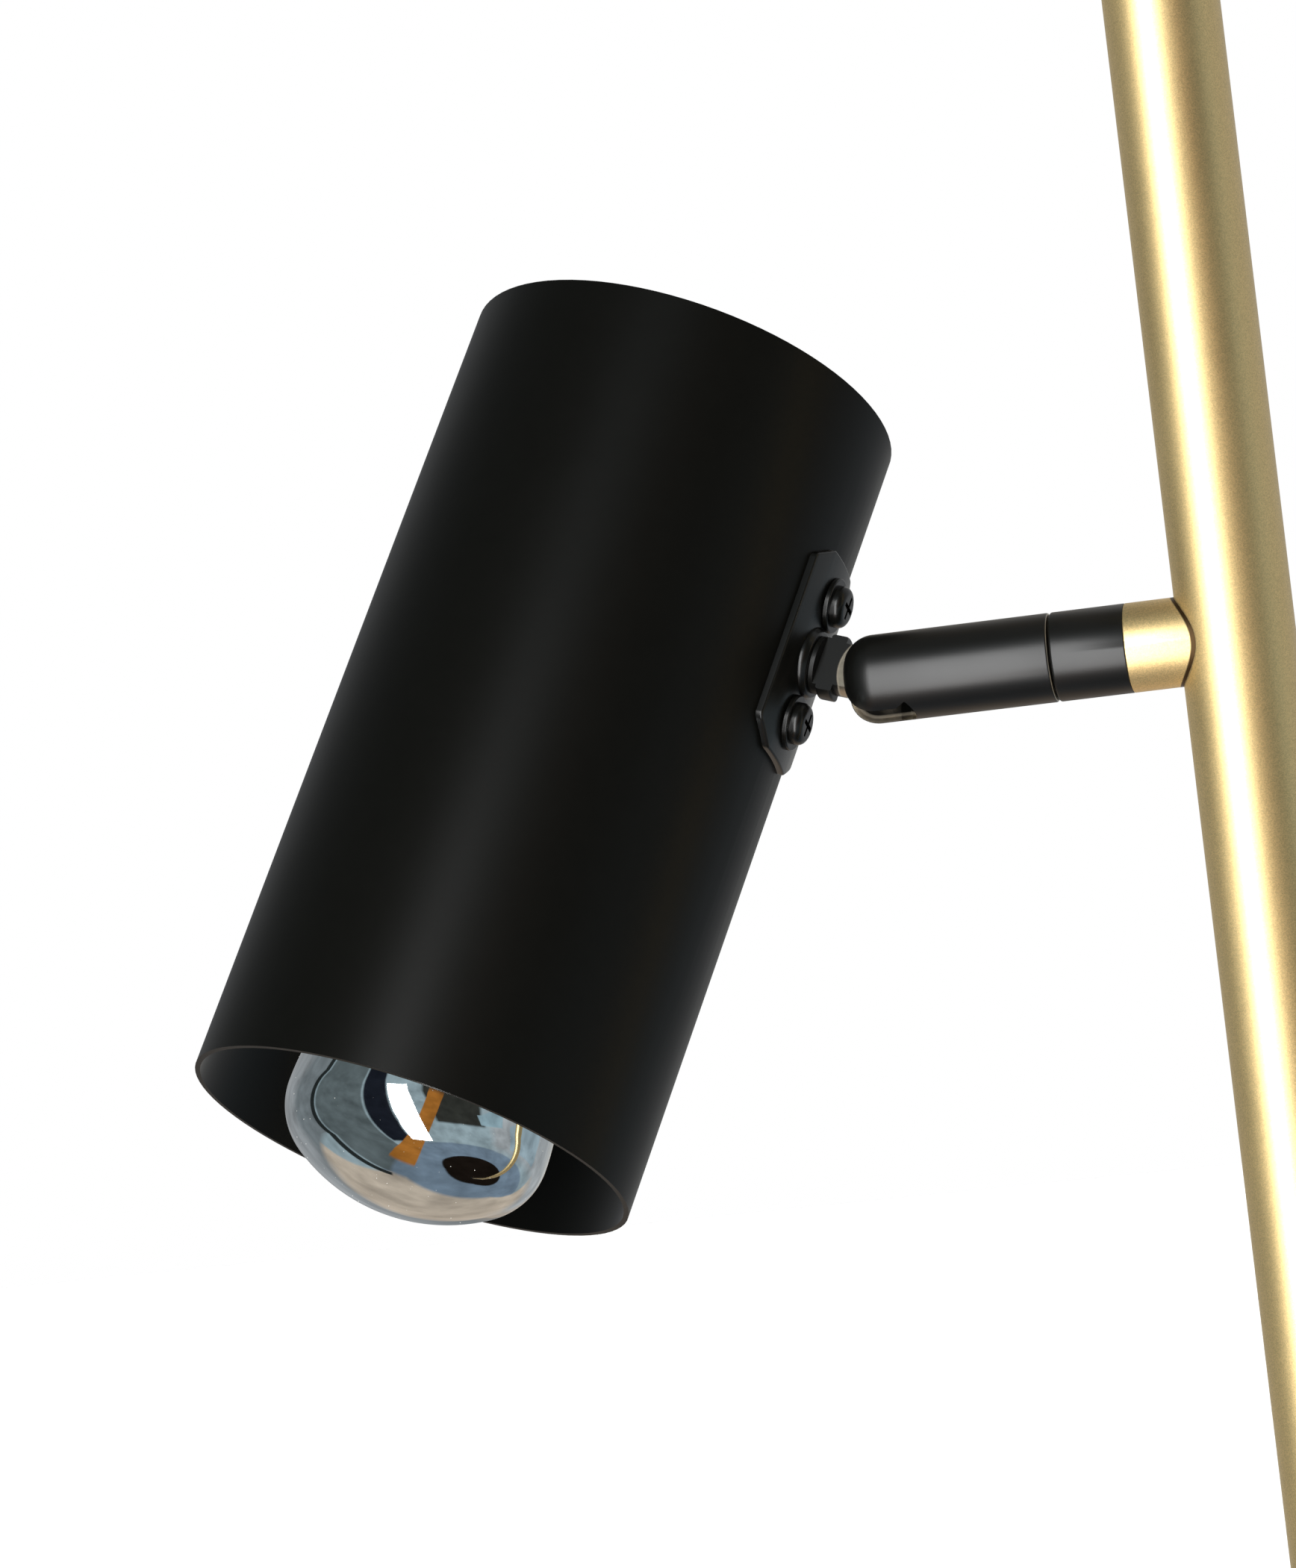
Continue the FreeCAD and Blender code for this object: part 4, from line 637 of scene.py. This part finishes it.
# ---------------------------------------------------------------- operators
class LAMP_OT_finishes(bpy.types.Operator):
    """Build the shared shader groups and every finish"""
    bl_idname = "lamp.finishes"
    bl_label = "Finishes"

    def execute(self, context):
        finishes, sizes, _ = settings()
        build_finishes(finishes, sizes)
        return {"FINISHED"}


class LAMP_OT_pole(bpy.types.Operator):
    """Dress the tubes, their joiners, the foot and the lead's bush"""
    bl_idname = "lamp.pole"
    bl_label = "Pole and foot"

    def execute(self, context):
        for node in ("lower_tube", "middle_tube", "upper_tube"):
            dress(node, "gold")
        dress("arm_stub", "stub")
        for node in ("lower_coupler", "upper_coupler"):
            dress(node, "brass")
        dress("foot_cup", "black")
        dress("foot_pad", "rubber")
        dress("lead_inlet", "rubber")
        coat("foot_bolt", "steel")
        coat("foot_insert", "aluminium")
        coat("arm_nipple", "brass")
        coat("arm_nut", "steel")
        return {"FINISHED"}


class LAMP_OT_top(bpy.types.Operator):
    """Dress the telescoping tube, its lock, the spring and the ceiling end"""
    bl_idname = "lamp.top"
    bl_label = "Telescoping top"

    def execute(self, context):
        dress("inner_tube", "gold")
        dress("guide_bush", "plastic")
        dress("clamp_collar", "black")
        dress("lock_knob", "plastic")
        knob_grip()
        dress("lock_screw", "steel")
        dress("top_bush", "plastic")
        dress("plunger_rod", "bright_steel")
        dress("ceiling_cup", "black")
        dress("ceiling_pad", "rubber")
        coat("tube_glide", "nylon")
        coat("spring_seat", "aluminium")
        coat("seat_pin", "steel")
        coat("coil_spring", "spring")
        coat("ceiling_nut", "steel")
        return {"FINISHED"}


class LAMP_OT_swivel(bpy.types.Operator):
    """Dress the ring, the slotted barrel, the pivot and the knuckle"""
    bl_idname = "lamp.swivel"
    bl_label = "Swivel and knuckle"

    def execute(self, context):
        dress("swivel_ring", "black")
        dress("swivel_barrel", "barrel")
        dress("pivot_pin", "steel")
        dress("knuckle", "knuckle")
        coat("pan_nut", "brass")
        coat("pan_washer", "steel")
        return {"FINISHED"}


class LAMP_OT_bracket(bpy.types.Operator):
    """Dress the stamped plate, its screws and the nuts inside"""
    bl_idname = "lamp.bracket"
    bl_label = "Bracket"

    def execute(self, context):
        dress("bracket_plate", "hardware", 35.0)
        dress("bracket_screws", "hardware", 35.0)
        coat("bracket_nuts", "steel")
        coat("stem_nut", "steel")
        return {"FINISHED"}


class LAMP_OT_shade(bpy.types.Operator):
    """Dress the cylinder shade, its lid and the strap inside"""
    bl_idname = "lamp.shade"
    bl_label = "Shade"

    def execute(self, context):
        tube = dress("shade_tube", "shade")
        tube.visible_glossy = False    # the bulb reflects the studio, not the tube's black inside
        dress("shade_lid", "shade")
        dress("holder_strap", "steel")
        coat("holder_nipple", "brass")
        coat("holder_nut", "steel")
        dress("lampholder", "holder")
        coat("holder_shell", "brass")
        coat("holder_contact", "brass")
        return {"FINISHED"}


class LAMP_OT_bulb(bpy.types.Operator):
    """Dress the reflector bulb"""
    bl_idname = "lamp.bulb"
    bl_label = "Bulb"

    def execute(self, context):
        silvered_bowl()
        dress("bulb_dome", "mirror", 60.0)
        dress("bulb_capsule", "glass", 60.0)
        bulb_dust()
        dress("bulb_supports", "steel")
        coat("bulb_cap", "aluminium")
        coat("cap_tip", "brass")
        return {"FINISHED"}


class LAMP_OT_studio(bpy.types.Operator):
    """Build the pale floor, the soft lights, the surround and the camera"""
    bl_idname = "lamp.studio"
    bl_label = "Studio"

    def execute(self, context):
        _, _, studio = settings()
        pale_floor()
        soft_surround(studio)
        soft_lights(studio)
        photo_camera()
        return {"FINISHED"}


# ---------------------------------------------------------------- stage
def pale_floor():
    """Plain pale floor under the foot's pad."""
    mesh = bpy.data.meshes.new("pale_floor")
    half = 14.0
    corners = [(-half, -half, 0), (half, -half, 0), (half, half, 0), (-half, half, 0)]
    mesh.from_pydata(corners, [], [(0, 1, 2, 3)])
    floor = bpy.data.objects.new("pale_floor", mesh)
    bpy.context.scene.collection.objects.link(floor)
    f = Finish("floor_paint", Roughness=0.7)
    tone = f.group("wear", Base=(0.86, 0.86, 0.85, 1.0), Size=0.6, Amount=0.04)
    f.drive("Base Color", tone.outputs["Colour"])
    mesh.materials.append(f.material)
    floor.visible_glossy = False


def soft_panel_group():
    """Mask of a soft-edged panel of the studio, in degrees of azimuth and elevation."""
    group, t, given, out = new_group(
        "Soft Panel", [("Azimuth", FLOAT, None), ("Elevation", FLOAT, None), ("Left", FLOAT, -10.0),
                       ("Right", FLOAT, 10.0), ("Low", FLOAT, -10.0), ("High", FLOAT, 10.0),
                       ("Edge", FLOAT, 2.0)],
        [("Mask", FLOAT)])
    edge = given.outputs["Edge"]

    def between(value, low, high):
        over = t.math("DIVIDE", t.math("SUBTRACT", value, low), edge, clamp=True)
        under = t.math("DIVIDE", t.math("SUBTRACT", high, value), edge, clamp=True)
        return t.math("MULTIPLY", over, under)

    across = between(given.outputs["Azimuth"], given.outputs["Left"], given.outputs["Right"])
    along = between(given.outputs["Elevation"], given.outputs["Low"], given.outputs["High"])
    t.link(t.math("MULTIPLY", across, along), out.inputs["Mask"])
    return group


# Studio seen in reflections. Each panel has its left, right, low and high edges in degrees from the
# camera's side, the width of its soft edge in degrees, and its colour. Later panels cover earlier ones.
PANELS = (
    ((-180, 181, 50, 91), 14, (0.10, 0.10, 0.10)),
    ((60, 181, -40, 60), 10, (0.46, 0.47, 0.48)),
    ((-181, -101, -30, 60), 3, (0.20, 0.22, 0.23)),
    ((-101, -50, -60, 60), 2, (0.13, 0.155, 0.16)),
    ((-107, -101, -60, 60), 1, (0.022, 0.026, 0.026)),
    ((-50, -25, -45, 60), 2, (0.013, 0.015, 0.022)),
    ((10, 60, -12, 60), 3, (0.040, 0.040, 0.034)),
    ((54, 79, -9, 4), 1, (0.33, 0.45, 0.50)),
    ((86, 130, -31, -8), 1, (0.38, 0.47, 0.52)),
    ((-181, -128, -34, 40), 9, (0.34, 0.35, 0.36)),
    ((150, 181, -20, 60), 10, (0.60, 0.60, 0.58)),
)


def soft_surround(studio):
    """White surround behind the object, and a soft studio in its reflections."""
    panel_group = soft_panel_group()
    world = bpy.data.worlds.new("soft_surround")
    bpy.context.scene.world = world
    world.use_nodes = True
    t = Tree(world.node_tree)
    background = world.node_tree.nodes["Background"]
    direction = t.add("ShaderNodeTexCoord").outputs["Generated"]
    aside = t.vector_math("DOT_PRODUCT", direction, tuple(VIEW_RIGHT))
    behind = t.vector_math("DOT_PRODUCT", direction, tuple(VIEW_AHEAD))
    split = t.add("ShaderNodeSeparateXYZ")
    t.link(direction, split.inputs[0])
    up = split.outputs["Z"]
    to_degrees = 180.0 / math.pi
    azimuth = t.math("MULTIPLY", t.math("ARCTAN2", aside, t.math("MULTIPLY", behind, -1.0)), to_degrees)
    elevation = t.math("MULTIPLY", t.math("ARCSINE", up), to_degrees)

    def panel(edges, soft):
        node = t.add("ShaderNodeGroup", node_tree=panel_group)
        t.link(azimuth, node.inputs["Azimuth"])
        t.link(elevation, node.inputs["Elevation"])
        for label, value in zip(("Left", "Right", "Low", "High"), edges):
            node.inputs[label].default_value = value
        node.inputs["Edge"].default_value = soft
        return node.outputs["Mask"]

    colour = floor_reflection(t, aside, behind, up)
    for edges, soft, tone in PANELS:
        colour = t.mix(panel(edges, soft), colour, rgb(tone))
    plank = t.vector_math("DOT_PRODUCT", direction, PLANK_SIDE)
    along = t.vector_math("DOT_PRODUCT", direction, PLANK_MIDDLE)
    inside = t.map_range(t.math("ABSOLUTE", plank), PLANK_HALF_WIDTH + 0.005, PLANK_HALF_WIDTH - 0.005)
    ends = t.map_range(along, PLANK_REACH - PLANK_EDGE, PLANK_REACH + PLANK_EDGE)
    colour = t.mix(t.math("MULTIPLY", inside, ends), colour, PLANK_COLOUR)
    cloud = t.add("ShaderNodeTexNoise")
    t.link(direction, cloud.inputs["Vector"])
    cloud.inputs["Scale"].default_value = 5.0
    cloud.inputs["Detail"].default_value = 5.0
    dimmest, brightest = 0.62, 1.38
    uneven = t.map_range(cloud.outputs["Fac"], 0.2, 0.8, dimmest, brightest)
    colour = t.vector_math("MULTIPLY", colour, uneven)
    seen = t.add("ShaderNodeLightPath").outputs["Is Camera Ray"]
    backdrop = (studio.backdrop, studio.backdrop, studio.backdrop, 1.0)
    t.link(t.mix(seen, colour, backdrop), background.inputs["Color"])
    background.inputs["Strength"].default_value = 1.0


def studio_direction(azimuth, elevation):
    """Unit vector at an azimuth from the camera's side and an elevation, in degrees."""
    a, e = math.radians(azimuth), math.radians(elevation)
    level = VIEW_RIGHT * math.sin(a) - VIEW_AHEAD * math.cos(a)
    return level * math.cos(e) + Vector((0, 0, 1)) * math.sin(e)


# Orange plank that leans across the studio and shows in the bulb
PLANK_HALF_WIDTH = 0.110
PLANK_EDGE = 0.02
PLANK_COLOUR = (0.46, 0.17, 0.03, 1.0)
PLANK_TOP = studio_direction(24, 29)
PLANK_FOOT = studio_direction(-76, -61)
PLANK_SIDE = tuple(PLANK_TOP.cross(PLANK_FOOT).normalized())
PLANK_MIDDLE = tuple((PLANK_TOP + PLANK_FOOT).normalized())
PLANK_REACH = PLANK_TOP.dot(Vector(PLANK_MIDDLE))

# Studio floor that shows in the bulb. Its lengths are in units of the bulb's height over the floor.
FLOOR_MIDDLE = (0.27, -0.19)
FLOOR_RADII = (0.95, 1.02)
MAT_RADII = (0.40, 0.42)
MAT_COLOUR = (0.012, 0.008, 0.006, 1.0)
NEAR_FLOOR = (0.20, 0.26, 0.33, 1.0)
FAR_FLOOR = (0.36, 0.44, 0.47, 1.0)
SWEEP_COLOUR = (0.60, 0.49, 0.39, 1.0)
SWEEP_START = 0.10            # how far behind the lamp the sweep begins
SWEEP_RIGHT = (0.45, 0.75)    # its edge runs back to the right: where from, and how steeply
SWEEP_LEFT = (0.60, -0.90)    # and to the left


def floor_reflection(t, aside, behind, up):
    """Studio floor under the lamp: a pale sweep behind, a cool floor and a dark round mat."""
    drop = t.math("MAXIMUM", t.math("MULTIPLY", up, -1.0), 0.02)
    x = t.math("DIVIDE", aside, drop)
    y = t.math("DIVIDE", behind, drop)
    right_edge = t.math("MULTIPLY", t.math("ADD", x, SWEEP_RIGHT[0]), SWEEP_RIGHT[1])
    left_edge = t.math("MULTIPLY", t.math("ADD", x, SWEEP_LEFT[0]), SWEEP_LEFT[1])
    edge = t.math("ADD", t.math("MAXIMUM", t.math("MAXIMUM", right_edge, left_edge), 0.0), SWEEP_START)
    sweep = t.map_range(t.math("SUBTRACT", y, edge), -0.02, 0.05)
    from_middle = [t.math("POWER", t.math("SUBTRACT", place, middle), 2.0)
                   for place, middle in zip((x, y), FLOOR_MIDDLE)]
    near = t.math("SQRT", t.math("ADD", *from_middle))
    floor = t.mix(t.map_range(near, FLOOR_RADII[0], FLOOR_RADII[1]), NEAR_FLOOR, FAR_FLOOR)
    floor = t.mix(t.map_range(near, MAT_RADII[1], MAT_RADII[0]), floor, MAT_COLOUR)
    return t.mix(sweep, floor, SWEEP_COLOUR)


def soft_light(name, place, target, size, power):
    """Rectangular soft light that the camera doesn't see."""
    data = bpy.data.lights.new(name, "AREA")
    data.shape = "RECTANGLE"
    data.size, data.size_y = size
    data.energy = power
    lamp = bpy.data.objects.new(name, data)
    bpy.context.scene.collection.objects.link(lamp)
    lamp.location = place
    lamp.rotation_euler = (Vector(target) - Vector(place)).to_track_quat("-Z", "Y").to_euler()
    lamp.visible_camera = False
    return lamp


def gold_pieces(name, state):
    """Collection that gives a light to the gold pieces alone, or keeps it off them."""
    collection = bpy.data.collections.new(name)
    for node in ("lower_tube", "middle_tube", "upper_tube", "inner_tube", "arm_stub"):
        collection.objects.link(bpy.data.objects[node + "_skin"])
    for member in collection.collection_objects:
        member.light_linking.link_state = state
    return collection


BULB_PLACE = Vector((-0.16, -0.04, 1.37))
POLE_PLACE = Vector((0.0, 0.0, 1.37))
KEY_AZIMUTH, KEY_DISTANCE, KEY_SIZE = -13.5, 0.82, (0.30, 1.36)
POLE_AZIMUTH, POLE_DISTANCE, POLE_SIZE = -40, 0.90, (0.40, 1.36)
OVERHEAD_ANGLE = math.radians(40.0)


def soft_lights(studio):
    """Soft light over the floor, and two tall softboxes beside the camera."""
    data = bpy.data.lights.new("overhead_light", "SUN")
    data.energy = studio.overhead
    data.angle = OVERHEAD_ANGLE
    overhead = bpy.data.objects.new("overhead_light", data)
    bpy.context.scene.collection.objects.link(overhead)
    overhead.visible_glossy = False
    overhead.visible_transmission = False
    middle = BULB_PLACE + studio_direction(KEY_AZIMUTH, 0) * KEY_DISTANCE
    key = soft_light("key_softbox", middle, BULB_PLACE, KEY_SIZE, studio.key)
    key.light_linking.receiver_collection = gold_pieces("all_but_gold", "EXCLUDE")
    middle = POLE_PLACE + studio_direction(POLE_AZIMUTH, 0) * POLE_DISTANCE
    side = soft_light("pole_softbox", middle, POLE_PLACE, POLE_SIZE, studio.pole)
    side.light_linking.receiver_collection = gold_pieces("gold_alone", "INCLUDE")


CAMERA_PLACE = (0.0979, -0.9741, 1.4451)
CAMERA_RIGHT = Vector((0.9699, 0.2116, -0.1209))
CAMERA_DOWN = Vector((-0.1160, -0.0354, -0.9926))
CAMERA_LENS = 118.96


def photo_camera():
    """Camera fitted to the photograph's frame of 1736 by 2101."""
    down = CAMERA_DOWN
    ahead = CAMERA_RIGHT.cross(down).normalized()
    right = down.cross(ahead).normalized()
    down = ahead.cross(right).normalized()
    data = bpy.data.cameras.new("photo_camera")
    data.sensor_fit = "AUTO"
    data.sensor_width = 36.0
    data.lens = CAMERA_LENS
    data.clip_start = 0.05
    data.clip_end = 60.0
    camera = bpy.data.objects.new("photo_camera", data)
    turn = Matrix((right, -down, -ahead)).transposed().to_4x4()
    camera.matrix_world = Matrix.Translation(CAMERA_PLACE) @ turn
    bpy.context.scene.collection.objects.link(camera)
    bpy.context.scene.camera = camera
    bpy.context.scene.view_settings.view_transform = "Standard"


# ---------------------------------------------------------------- panel and registration
PIECES = (LAMP_OT_finishes, LAMP_OT_pole, LAMP_OT_top, LAMP_OT_swivel, LAMP_OT_bracket, LAMP_OT_shade,
          LAMP_OT_bulb, LAMP_OT_studio)


class LAMP_PT_sidebar(bpy.types.Panel):
    """Lists the lamp's settings and the operators that build it"""
    bl_idname = "LAMP_PT_sidebar"
    bl_label = "Pole Lamp"
    bl_space_type = "VIEW_3D"
    bl_region_type = "UI"
    bl_category = "Pole Lamp"

    def draw(self, context):
        layout = self.layout
        for settings_group in settings():
            for name in settings_group.bl_rna.properties.keys():
                if name not in {"rna_type", "name"}:
                    layout.prop(settings_group, name)
        for piece in PIECES:
            layout.operator(piece.bl_idname)


CLASSES = (LampFinishes, LampSizes, LampStudio) + PIECES + (LAMP_PT_sidebar,)


def register():
    for cls in CLASSES:
        bpy.utils.register_class(cls)
    bpy.types.Scene.lamp_finishes = PointerProperty(type=LampFinishes)
    bpy.types.Scene.lamp_sizes = PointerProperty(type=LampSizes)
    bpy.types.Scene.lamp_studio = PointerProperty(type=LampStudio)


def unregister():
    del bpy.types.Scene.lamp_studio
    del bpy.types.Scene.lamp_sizes
    del bpy.types.Scene.lamp_finishes
    for cls in reversed(CLASSES):
        bpy.utils.unregister_class(cls)


def main():
    register()
    for piece in PIECES:
        group, name = piece.bl_idname.split(".")
        getattr(getattr(bpy.ops, group), name)()


if __name__ == "__main__":
    main()
